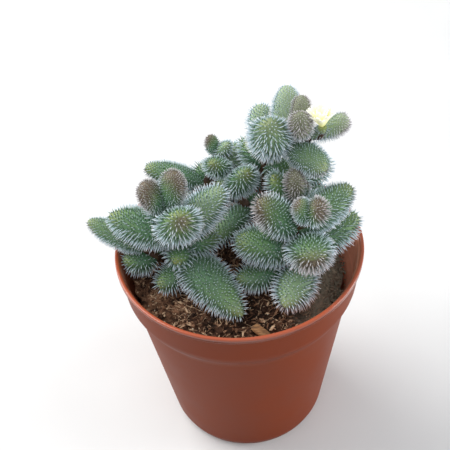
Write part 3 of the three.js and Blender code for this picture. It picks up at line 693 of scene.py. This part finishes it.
class Leaf:
    """One leaf. Along it t runs from 0 to 1 at the tip, and round it a quarter turn is the upper face."""

    def __init__(self, base, turn, rise, length, width, blunt=ROUND_TIP, down=0, brown=0, frost=0):
        turn, rise = math.radians(turn), math.radians(rise)
        self.base = np.array(base, dtype=float)
        self.length, self.width = length, width
        self.blunt, self.down, self.brown, self.frost = blunt, down, brown, frost
        level = math.cos(rise)
        self.ahead = np.array([math.cos(turn) * level, math.sin(turn) * level, math.sin(rise)])
        self.side = np.array([-math.sin(turn), math.cos(turn), 0.0])
        self.above = np.cross(self.ahead, self.side)

    def half_width(self, t):
        club = self.blunt - ROUND_TIP
        widest = WIDEST + WIDEST_SHIFT * club
        base = BASE_WIDTH - BASE_LOSS * club
        rising = base + (1 - base) * np.sin(np.clip(t / widest, 0, 1) * math.pi / 2) ** max(1, 1 + club)
        falling = (1 - np.clip((t - widest) / (1 - widest), 0, 1) ** self.blunt) ** (1 / self.blunt)
        return np.where(t < widest, rising, falling) * self.width / 2

    def skin(self, t, angle):
        half = self.half_width(t)
        up = np.sin(angle)
        depth = 2 * half * np.where(up > 0, ABOVE, BELOW) * up
        return (self.base + (t * self.length)[..., None] * self.ahead
                + (half * np.cos(angle))[..., None] * self.side + depth[..., None] * self.above)

    def normal(self, t, angle):
        step = 0.01
        along = self.skin(t + step, angle) - self.skin(t - step, angle)
        around = self.skin(t, angle + step) - self.skin(t, angle - step)
        normal = np.cross(around, along)
        return normal / np.maximum(np.linalg.norm(normal, axis=-1, keepdims=True), 1e-9)

    def outside(self, points):
        """About how far points lie outside the skin, less than nothing for those inside."""
        along, across, high = ((points - self.base) @ axis for axis in (self.ahead, self.side, self.above))
        t = np.clip(along / self.length, 0.02, 0.97)
        half = np.maximum(self.half_width(t), 0.05)
        depth = 2 * half * np.where(high > 0, ABOVE, BELOW)
        share = np.maximum(np.hypot(across / half, high / depth), 1e-6)
        lateral = np.hypot(across, high) * (1 - 1 / share)
        beyond = np.abs(along - t * self.length)
        return np.where(beyond > 0.03 * self.length, np.hypot(np.maximum(lateral, 0), beyond), lateral)

    def blush(self, t, angle):
        """How brown a place still is: most at the tip and underneath."""
        return smooth_step(1.25, 1.85, self.brown + t - 0.25 * np.clip(np.sin(angle), -1, 0.7))


# Leaf skin: waxy, over clear tissue full of water, so light goes a little way in. It is covered in clear
# bladder cells about 0.4 mm across, which show as fine pale dots, and it is bluer in patches of 3 mm. Some
# leaves are drawn paler all over, partly for wax and partly as painted light where they stand in brighter
# light, and each is a little lighter or darker than the next by its tone.
BLADDER_CELL = 0.4
BLUE_PATCH = 3.0
leaf_skin, leaf_surface, place = new_material(
    "waxy_leaf_skin", "leaf",
    {"Roughness": 0.5, "Specular IOR Level": 0.4, "IOR": 1.42, "Subsurface Weight": 0.15,
     "Subsurface Radius": (0.6, 1.0, 0.35), "Subsurface Scale": 0.8 * MM})
tipward, blush, tone, frost = (
    add_node(leaf_skin, "ShaderNodeAttribute", {"attribute_name": shade})
    for shade in ("tipward", "blush", "tone", "frost"))
green = add_node(
    leaf_skin, "ShaderNodeValToRGB",
    {"Stops": [(0.0, "#3c6044"), (0.4, "#567f5a"), (0.8, "#6b8b59"), (1.0, "#869056")]},
    {"Fac": (tipward, "Fac")})
blueing = add_node(
    leaf_skin, "ShaderNodeTexNoise", {"Scale": 1 / (BLUE_PATCH * MM), "Detail": 2.0}, {"Vector": place})
blue_patches = add_node(
    leaf_skin, "ShaderNodeMapRange", {"From Min": 0.42, "From Max": 0.68, "To Max": 0.4}, {"Value": blueing})
patched_green = add_node(
    leaf_skin, "ShaderNodeMix", {"data_type": "RGBA", "B": "#5b7a70"},
    {"Factor": blue_patches, "A": green})
young_brown = add_node(
    leaf_skin, "ShaderNodeValToRGB",
    {"Stops": [(0.0, "#667a49"), (0.4, "#6a6c48"), (0.8, "#685e49"), (1.0, "#695c4b")]},
    {"Fac": (blush, "Fac")})
flesh = add_node(
    leaf_skin, "ShaderNodeMix", {"data_type": "RGBA"},
    {"Factor": (blush, "Fac"), "A": patched_green, "B": young_brown})
cells = add_node(leaf_skin, "ShaderNodeTexVoronoi", {"Scale": 1 / (BLADDER_CELL * MM)}, {"Vector": place})
dots = add_node(
    leaf_skin, "ShaderNodeMapRange", {"From Min": 0.12, "From Max": 0.42, "To Min": 0.42, "To Max": 0.0},
    {"Value": (cells, "Distance")})
dotted = add_node(
    leaf_skin, "ShaderNodeMix", {"data_type": "RGBA", "B": "#a6b69a"}, {"Factor": dots, "A": flesh})
# Wax, and partly painted light: some leaves are drawn paler all over, for wax and for the brighter light they
# stand in.
waxed_and_lit = add_node(
    leaf_skin, "ShaderNodeMix", {"data_type": "RGBA", "B": "#adbf9e"},
    {"Factor": (frost, "Fac"), "A": dotted})
light = add_node(
    leaf_skin, "ShaderNodeMapRange", {"To Min": 0.8, "To Max": 1.2}, {"Value": (tone, "Fac")})
leaf_colour = add_node(leaf_skin, "ShaderNodeHueSaturation", (), {"Value": light, "Color": waxed_and_lit})
leaf_relief = add_node(
    leaf_skin, "ShaderNodeBump", {"Strength": 0.7, "Distance": 0.08 * MM, "invert": True},
    {"Height": (cells, "Distance")})
add_node(leaf_skin, leaf_surface, (), {"Base Color": leaf_colour, "Normal": leaf_relief})

shoots = {
    name: [Leaf(at, *form, **traits) for at, pair in joints for form, traits in pair]
    for name, (root, joints) in SHOOTS.items()}
# The rings stand closer together towards both ends, and the leaf's base and its tip are single points.
rings = (1 - np.cos(np.linspace(0, math.pi, LEAF_RINGS)[1:-1])) / 2
t, angle = np.meshgrid(rings, np.arange(LEAF_SIDES) * 2 * math.pi / LEAF_SIDES, indexing="ij")
along = np.append(t.ravel(), [0, 1])
around = np.append(angle.ravel(), [0, 0])
for name, leaves in shoots.items():
    skins, skin_faces, shades = [], [], {"tipward": [], "blush": [], "tone": [], "frost": []}
    for blade in leaves:
        seed = int(blade.length * 10)
        lumpy = bumps(t * blade.length + 3 * np.cos(angle), 3 * np.sin(angle), LUMP_PITCH, seed)
        channel = smooth_step(0.3, 1, np.sin(angle)) * smooth_step(0, 0.3, t) * smooth_step(1, 0.6, t)
        relief = LUMP_HEIGHT * lumpy - CHANNEL_SHARE * blade.width * channel
        skin = blade.skin(t, angle) + blade.normal(t, angle) * relief[..., None]
        tip = blade.base + blade.length * blade.ahead
        count = len(skins) * len(along)
        skins.append(np.concatenate([skin.reshape(-1, 3), [blade.base, tip]]))
        skin_faces += [part[:, ::-1] + count for part in closed_faces(len(rings), LEAF_SIDES)]
        shades["tipward"].append(along)
        shades["blush"].append(blade.blush(along, around))
        shades["tone"].append(np.full(len(along), dice.uniform(*LEAF_TONES)))
        shades["frost"].append(np.full(len(along), SKIN_WAX_AND_LIGHT * blade.frost))
    shades = {shade: np.concatenate(values) for shade, values in shades.items()}
    add_piece(f"{name}_leaves", np.concatenate(skins), skin_faces, leaf_skin, [f"shoot_{name}"], shades)

# The bristles.
# Every leaf is covered in bristles, which are long, clear, hollow cells that grow out of its skin. They stand
# out from it, droop a little and shine white where the sun is behind them.

BRISTLE_SPACING = 0.74
BRISTLE_LENGTH = 2.15
BRISTLE_RADIUS = 0.125
DOWN_SPACING = 0.42
DOWN_LENGTH = 0.8
DOWN_RADIUS = 0.075
BRISTLE_SIDES = 4
# Rings of a bristle: how far along it they are, and their share of its radius. It tapers evenly to its tip.
BRISTLE_RINGS = np.array([(-0.05, 1.3), (0.3, 0.95), (0.7, 0.6)])
# Each bristle stands a golden turn round the leaf from the last one, so they never line up, and has about
# this share of its spacing squared to itself.
GOLDEN_TURN = math.pi * (3 - math.sqrt(5))
BRISTLE_ROOM = 0.87
# How far bristles lean and bend towards the leaf's tip, droop, curl and scatter, as shares of their length,
# and how much shorter and duller they are on the flatter upper face.
BRISTLE_LEAN = 0.08
BRISTLE_SWEEP = 0.12
BRISTLE_DROOP = 0.06
BRISTLE_CURL = 0.05
BRISTLE_SCATTER = 0.06
SHORTER_ABOVE = 0.55
DULLER_ABOVE = 0.3
# How far bristles keep off other leaves and off the pot, the share of its length below which one isn't there,
# and the pot's inner wall from the floor up.
LEAF_GAP = 0.05
POT_GAP = 0.1
SHORTEST = 0.3
INNER_WALL_HEIGHTS = [POT_FLOOR, 2.5, 41.0, 43.6, 51.1, POT_HEIGHT]
INNER_WALL_RADII = [17.5, 18.1, 23.7, 25.3, 26.0, 26.7]


def off_rod(points, path, radius):
    """How far points lie from the skin of a bent rod."""
    nearest = np.full(len(points), np.inf)
    for start, end in zip(path, path[1:]):
        run = end - start
        t = np.clip((points - start) @ run / (run @ run), 0, 1)
        nearest = np.minimum(nearest, np.linalg.norm(points - start - t[:, None] * run, axis=1))
    return nearest - radius


def inside_pot_wall(points):
    """True where points are in the pot's wall, or outside it and below its lip."""
    wall = np.interp(points[:, 2], INNER_WALL_HEIGHTS, INNER_WALL_RADII)
    return (points[:, 2] < POT_HEIGHT + POT_GAP) & (np.hypot(points[:, 0], points[:, 1]) > wall - POT_GAP)


def bristle_points(roots, aims, lengths, bends, share):
    """Places that share of the way along bristles, which bend as they go."""
    return roots + lengths[:, None] * (aims * share + bends * share ** 2)


def bristle_mesh(roots, aims, lengths, bends, radii):
    """Points and faces of bristles, and how far along its bristle each point is."""
    across = np.cross(aims, (0.3, 0.2, 1.0))
    across /= np.linalg.norm(across, axis=1, keepdims=True)
    over = np.cross(aims, across)
    rows = []
    for share, girth in BRISTLE_RINGS:
        centre = bristle_points(roots, aims, lengths, bends, share)
        for k in range(BRISTLE_SIDES):
            angle = 2 * math.pi * k / BRISTLE_SIDES
            aside = across * math.cos(angle) + over * math.sin(angle)
            rows.append(centre + (radii * girth)[:, None] * aside)
    rows.append(bristle_points(roots, aims, lengths, bends, 1.0))
    points = np.stack(rows, 1)
    each = points.shape[1]
    tip = each - 1
    k = np.arange(BRISTLE_SIDES)
    last = tip - BRISTLE_SIDES
    sides = grid_faces(len(BRISTLE_RINGS), BRISTLE_SIDES)
    cap = np.stack([last + k, last + (k + 1) % BRISTLE_SIDES, np.full(BRISTLE_SIDES, tip)], -1)
    start = (np.arange(len(roots)) * each)[:, None, None]
    feet = k[::-1][None] + start[:, 0]
    faces = [(sides + start).reshape(-1, 4), (cap + start).reshape(-1, 3), feet]
    along = np.tile(np.append(np.repeat(BRISTLE_RINGS[:, 0], BRISTLE_SIDES), 1.0), len(roots))
    return points.reshape(-1, 3), faces, along


def bristles_of(leaf):
    """Roots, aims, lengths, bends, radii, brownness, whiteness and wax and painted light of a leaf's
    bristles.
    """
    spacing = BRISTLE_SPACING + (DOWN_SPACING - BRISTLE_SPACING) * leaf.down
    t = np.linspace(0.03, 0.995, 200)
    half = leaf.half_width(t)
    slant = np.hypot(1, np.gradient(half, t * leaf.length))
    area = np.cumsum(2 * math.pi * half * (0.5 + (ABOVE + BELOW) / 2) * slant) * leaf.length * (t[1] - t[0])
    count = int(area[-1] / (BRISTLE_ROOM * spacing ** 2))
    t = np.interp((np.arange(count) + dice.uniform(0.2, 0.8, count)) / count, area / area[-1], t)
    angle = np.arange(count) * GOLDEN_TURN + dice.normal(0, BRISTLE_SCATTER, count)
    aims = leaf.normal(t, angle) + BRISTLE_LEAN * leaf.ahead + dice.normal(0, BRISTLE_SCATTER, (count, 3))
    aims /= np.linalg.norm(aims, axis=1, keepdims=True)
    full = BRISTLE_LENGTH + (DOWN_LENGTH - BRISTLE_LENGTH) * leaf.down
    flat_face = smooth_step(0.3, 0.85, np.sin(angle))
    lengths = full * (1 - SHORTER_ABOVE * flat_face) * np.interp(t, [0, 0.2, 0.7, 1], [0.8, 1, 1, 0.6])
    lengths *= dice.uniform(0.84, 1.1, count)
    bends = BRISTLE_CURL * dice.normal(0, 1, (count, 3)) + BRISTLE_SWEEP * leaf.ahead - (0, 0, BRISTLE_DROOP)
    radii = (BRISTLE_RADIUS + (DOWN_RADIUS - BRISTLE_RADIUS) * leaf.down) * dice.uniform(0.85, 1.15, count)
    whites = 1 - DULLER_ABOVE * flat_face
    # Bristles of the paler leaves are drawn whiter too, for wax and partly as painted light.
    waxes_and_light = np.full(count, BRISTLE_WAX_AND_LIGHT * leaf.frost)
    return leaf.skin(t, angle), aims, lengths, bends, radii, leaf.blush(t, angle), whites, waxes_and_light


# Bristles: clear cell walls full of water and air. They are drawn green where they leave the leaf, as it
# shines through, and bluish white at the tip, partly their own colour and partly painted light that comes
# through them from behind. Those on the young leaves are beige to lilac.
clear_cell, bristle_surface, place = new_material(
    "clear_bristle_cells", "leaf",
    {"Roughness": 0.35, "IOR": 1.4, "Subsurface Weight": 0.3, "Subsurface Radius": (1, 1, 1),
     "Subsurface Scale": 0.25 * MM})
along, blush = (
    add_node(clear_cell, "ShaderNodeAttribute", {"attribute_name": shade}) for shade in ("along", "blush"))
# Partly painted light: the bristles are drawn near white at the tip, for light that comes through them from
# behind.
pale_and_backlit = add_node(
    clear_cell, "ShaderNodeValToRGB",
    {"Stops": [(0.0, "#658564"), (0.3, "#93ad9e"), (0.6, "#c6d8e6"), (1.0, "#f5faff")]},
    {"Fac": (along, "Fac")})
lilac = add_node(
    clear_cell, "ShaderNodeValToRGB",
    {"Stops": [(0.0, "#6c6558"), (0.35, "#9d9794"), (1.0, "#e8e4ea")]}, {"Fac": (along, "Fac")})
bristle_colour = add_node(
    clear_cell, "ShaderNodeMix", {"data_type": "RGBA"}, {"Factor": (blush, "Fac"), "A": pale_and_backlit, "B": lilac})
add_node(clear_cell, bristle_surface, (), {"Base Color": bristle_colour})

every_leaf = [leaf for leaves in shoots.values() for leaf in leaves]
every_stem = [stem_path(root, joints) for root, joints in SHOOTS.values()]


def is_free(points, owners):
    """True where points are clear of the pot, the peat, the stems and the leaves but their own."""
    free = ~inside_pot_wall(points) & (points[:, 2] > soil_top(points[:, 0], points[:, 1]))
    for stem in every_stem:
        free &= off_rod(points, stem, STEM_RADIUS) > 0
    for number, leaf in enumerate(every_leaf):
        free &= (owners == number) | (leaf.outside(points) > LEAF_GAP)
    return free


# A bristle that would run into something is cut short, and one whose foot is inside something isn't there.
for name, leaves in shoots.items():
    parts = [bristles_of(leaf) for leaf in leaves]
    owners = every_leaf.index(leaves[0]) + np.repeat(np.arange(len(leaves)), [len(part[0]) for part in parts])
    roots, aims, lengths, bends, radii, blushes, whites, waxes_and_light = (
        np.concatenate(values) for values in zip(*parts))
    room = np.ones(len(roots))
    for share in (1.0, 0.8, 0.6, 0.4):
        free = is_free(bristle_points(roots, aims, lengths, bends, share), owners)
        room = np.where(free, room, np.minimum(room, share - 0.2))
    kept = is_free(roots, owners) & (room > SHORTEST)
    bristles, bristle_faces, shares = bristle_mesh(
        roots[kept], aims[kept], lengths[kept] * room[kept], bends[kept], radii[kept] * np.sqrt(room[kept]))
    each = len(bristles) // kept.sum()
    add_piece(
        f"{name}_bristles", bristles, bristle_faces, clear_cell, (),
        {"along": np.clip(shares, 0, 1) * np.repeat(whites[kept], each) + np.repeat(waxes_and_light[kept], each),
         "blush": np.repeat(blushes[kept], each)})

# The flower.
# One flower is half open in the top of the tall shoot: three rings of thin, pale yellow, strap-shaped petals
# round a tuft of stamens, in a small green cup on a short bent stalk.

STALK_PATH = [(16.3, 9.9, 73), (18, 9.2, 73), (18.9, 8.1, 74.1), (19, 7.5, 75.9)]
STALK_RADIUS = 0.5
FLOWER_AXIS = Vector((-0.09, 0.02, 1)).normalized()
CUP_OUTLINE = [(0, -0.4), (0.5, -0.3), (0.8, 0.1), (0.95, 0.6), (0.92, 1.1), (0.82, 1.3), (0, 1.25)]
CUP_LENGTH = 1.3
# The rings of petals: how far they lean out and where round the flower they start, in degrees.
PETAL_RINGS = [
    {"petals": 15, "open": 29, "start": 221.58, "length": 4.4, "width": 1.35},
    {"petals": 11, "open": 19, "start": 8.62, "length": 4.3, "width": 1.25},
    {"petals": 8, "open": 9, "start": 155.66, "length": 3.7, "width": 1.0},
]
PETAL_THICK = 0.1
PETAL_FOOT = 0.4
PETAL_TROUGH = 0.16
PETAL_RIPPLE = 0.05
PETAL_ROWS = 12
PETAL_COLUMNS = 7
STAMENS = 22
STAMEN_RADIUS = 0.09
STAMEN_RING = 0.3


def on_flower(points, foot):
    """Points drawn round the Z axis, moved to stand on the flower's axis."""
    tilt = np.array(Vector((0, 0, 1)).rotation_difference(FLOWER_AXIS).to_matrix())
    return np.asarray(points) @ tilt.T + foot


def petal(spread, turn, length, width):
    """Points and faces of one thin petal, channelled and arched over, and how far along it each point is."""
    t = np.linspace(0, 1, PETAL_ROWS)
    lean = np.radians(spread * (0.95 + 0.15 * t)) + 0.2 * t ** 3
    step = length / (PETAL_ROWS - 1)
    out = PETAL_FOOT + np.cumsum(np.sin(lean)) * step
    high = np.cumsum(np.cos(lean)) * step
    half = width / 2 * np.interp(t, [0, 0.35, 0.7, 0.9, 1], [0.45, 0.85, 1, 0.75, 0.3])
    across = np.linspace(-1, 1, PETAL_COLUMNS)
    trough = PETAL_TROUGH * width * (across ** 2)[None] * np.ones_like(t)[:, None]
    ripple = PETAL_RIPPLE * np.sin(9 * t + 5 * turn)[:, None] * across[None]
    sheets = []
    for side in (-0.5, 0.5):
        lift = side * PETAL_THICK - trough + ripple
        x = out[:, None] + lift * np.cos(lean)[:, None]
        z = high[:, None] - lift * np.sin(lean)[:, None]
        sheets.append(np.stack([x, half[:, None] * across[None], z], -1).reshape(-1, 3))
    points = turned(*np.concatenate(sheets).T, turn)
    sheet = np.arange(PETAL_ROWS * PETAL_COLUMNS).reshape(PETAL_ROWS, PETAL_COLUMNS)
    under = np.stack([sheet[:-1, :-1], sheet[:-1, 1:], sheet[1:, 1:], sheet[1:, :-1]], -1).reshape(-1, 4)
    rim = np.concatenate([sheet[0], sheet[1:, -1], sheet[-1, -2::-1], sheet[-2:0:-1, 0]])
    on = np.roll(rim, -1)
    edge = np.stack([rim, rim + sheet.size, on + sheet.size, on], -1)
    faces = np.concatenate([under, under[:, ::-1] + sheet.size, edge])
    return points, faces, np.tile(np.repeat(t, PETAL_COLUMNS), 2)


# Petals: thin, silky and half see-through, pale yellow, deeper at the foot and nearly white at the tip. A
# faint glow of their own stands in for the daylight that comes through them.
PETAL_VEIN = 0.4
silk, petal_surface, place = new_material(
    "silky_petals", "petal",
    {"Roughness": 0.5, "Subsurface Weight": 0.3, "Subsurface Radius": (1, 0.97, 0.7),
     "Subsurface Scale": 0.4 * MM, "Emission Color": "#fffbdc", "Emission Strength": 0.14})
outward = add_node(silk, "ShaderNodeAttribute", {"attribute_name": "outward"})
petal_colour = add_node(
    silk, "ShaderNodeValToRGB", {"Stops": [(0.0, "#eae67e"), (0.4, "#fbf9c0"), (1.0, "#fffff4")]},
    {"Fac": (outward, "Fac")})
veins = add_node(
    silk, "ShaderNodeTexNoise", {"Scale": 1 / (PETAL_VEIN * MM), "Detail": 2.0}, {"Vector": place})
petal_relief = add_node(silk, "ShaderNodeBump", {"Strength": 0.3, "Distance": 0.05 * MM}, {"Height": veins})
add_node(silk, petal_surface, (), {"Base Color": petal_colour, "Normal": petal_relief})

cup_foot = np.array(STALK_PATH[-1])
flower_foot = cup_foot + CUP_LENGTH * np.array(FLOWER_AXIS)
petals, petal_faces, outwards = [], [], []
for ring in PETAL_RINGS:
    for k in range(ring["petals"]):
        turn = 2 * math.pi * (k + dice.uniform(-0.15, 0.15)) / ring["petals"] + math.radians(ring["start"])
        spread = ring["open"] + dice.uniform(-6, 6)
        points, quads, away = petal(spread, turn, ring["length"] * dice.uniform(0.9, 1.03), ring["width"])
        petal_faces.append(quads + len(petals) * len(points))
        petals.append(points)
        outwards.append(away)
add_piece(
    "flower_petals", on_flower(np.concatenate(petals), flower_foot), petal_faces, silk, ["flower"],
    {"outward": np.concatenate(outwards)})

turn = dice.uniform(0, 2 * math.pi, STAMENS)
lean = dice.uniform(0.05, 0.35, STAMENS)
stamen_feet = STAMEN_RING * np.stack([np.cos(turn), np.sin(turn), 0 * turn], -1)
stamen_aims = np.stack([np.cos(turn) * np.sin(lean), np.sin(turn) * np.sin(lean), np.cos(lean)], -1)
threads, thread_faces, along_threads = bristle_mesh(
    stamen_feet, stamen_aims, dice.uniform(1.9, 2.7, STAMENS), dice.normal(0, 0.1, (STAMENS, 3)),
    np.full(STAMENS, STAMEN_RADIUS))
add_piece(
    "flower_stamens", on_flower(threads, flower_foot), thread_faces, silk, (),
    {"outward": 0.25 * np.clip(along_threads, 0, 1)})

cup, cup_faces = revolved(rounded([(r, z, 0.3) for r, z in CUP_OUTLINE]), 24)
lobes = 1 + 0.06 * np.cos(5 * np.arctan2(cup[:, 1], cup[:, 0]))
cup[:, :2] *= lobes[:, None]
add_piece(
    "flower_cup", on_flower(cup, cup_foot), cup_faces, leaf_skin, (),
    {"tipward": 1.0, "blush": 0.05, "tone": 0.9, "frost": 0.0})
stalk = smooth_path(STALK_PATH, STEPS_PER_JOINT)
add_piece("flower_stalk", *rod(stalk, np.full(len(stalk), STALK_RADIUS), STEM_SIDES), stem_bark)

CUP_BRISTLES = 60
CUP_BRISTLE_RADIUS = 0.07
turn = np.arange(CUP_BRISTLES) * GOLDEN_TURN
high = np.linspace(-0.2, 1.1, CUP_BRISTLES)
reach = np.interp(high, [z for _, z in CUP_OUTLINE[1:5]], [r for r, _ in CUP_OUTLINE[1:5]])
out = np.stack([np.cos(turn), np.sin(turn), 0.2 * high - 0.2], -1)
down, down_faces, shares = bristle_mesh(
    np.stack([reach * np.cos(turn), reach * np.sin(turn), high], -1), out,
    dice.uniform(0.35, 0.55, CUP_BRISTLES), dice.normal(0, 0.1, (CUP_BRISTLES, 3)),
    np.full(CUP_BRISTLES, CUP_BRISTLE_RADIUS))
add_piece(
    "flower_cup_bristles", on_flower(down, cup_foot), down_faces, clear_cell, (),
    {"along": np.clip(shares, 0, 1), "blush": 0.1})

# The floor, the light and the camera.
# A white sheet of matt paper, a large soft light high on the left and a little behind, a weak one in front, a
# small low one on the right, and pale light all round. The camera looks down at 45 degrees from in front.

FLOOR_SIZE = 4.0
PAPER_CLOUDS = 30.0
paper = bpy.data.materials.new("white_paper")
paper.use_nodes = True
paper_surface = add_node(
    paper, paper.node_tree.nodes["Principled BSDF"], {"Roughness": 0.9, "Specular IOR Level": 0.1})
paper_place = add_node(paper, "ShaderNodeNewGeometry")
fibre_noise = add_node(
    paper, "ShaderNodeTexNoise", {"Scale": 1 / (PAPER_CLOUDS * MM)}, {"Vector": paper_place})
paper_colour = add_node(
    paper, "ShaderNodeValToRGB", {"Stops": [(0.3, "#dcdcdc"), (0.7, "#e0e0e0")]}, {"Fac": fibre_noise})
add_node(paper, paper_surface, (), {"Base Color": paper_colour})
bpy.ops.mesh.primitive_plane_add(size=FLOOR_SIZE)
floor = bpy.context.object
floor.name = "floor"
floor.data.materials.append(paper)

world = bpy.data.worlds.new("studio")
bpy.context.scene.world = world
world.use_nodes = True
surround = world.node_tree.nodes["Background"].inputs
surround["Color"].default_value = (0.95, 0.975, 1.0, 1.0)
surround["Strength"].default_value = 0.57


def soft_light(name, place, aim, size, power, colour):
    """A round soft light, its place, aim and size in metres and its power in watts."""
    lamp = bpy.data.lights.new(name, "AREA")
    lamp.shape = "DISK"
    lamp.size = size
    lamp.energy = power
    lamp.color = colour
    light = bpy.data.objects.new(name, lamp)
    bpy.context.collection.objects.link(light)
    light.location = place
    light.rotation_euler = (Vector(aim) - Vector(place)).to_track_quat("-Z", "Y").to_euler()


WARM_WHITE = (1.0, 0.99, 0.97)
COOL_WHITE = (0.97, 0.985, 1.0)
soft_light("key", (-0.38, 0.22, 0.43), (0, 0, 0.05), 0.6, 4.6, WARM_WHITE)
soft_light("front", (0.1, -0.42, 0.5), (0, 0, 0.05), 0.5, 0.65, COOL_WHITE)
soft_light("side", (0.42, -0.04, 0.1), (0, 0, 0.04), 0.25, 1.25, COOL_WHITE)
bpy.context.scene.view_settings.view_transform = "Standard"

CAMERA_PLACE = (0, -0.13007, 0.18037)
ELEVATION, PAN, TILT, ROLL = (math.radians(a) for a in (45.61, 0.855, 2.38, 3.8))
camera = bpy.data.cameras.new("camera")
camera.sensor_width = 36
camera.lens = 65.94
camera.clip_start = 0.01
camera_object = bpy.data.objects.new("camera", camera)
bpy.context.collection.objects.link(camera_object)
facing = (Matrix.Rotation(math.pi / 2 - ELEVATION, 4, "X") @ Matrix.Rotation(PAN, 4, "Y")
          @ Matrix.Rotation(TILT, 4, "X") @ Matrix.Rotation(-ROLL, 4, "Z"))
camera_object.matrix_world = Matrix.Translation(CAMERA_PLACE) @ facing
bpy.context.scene.camera = camera_object
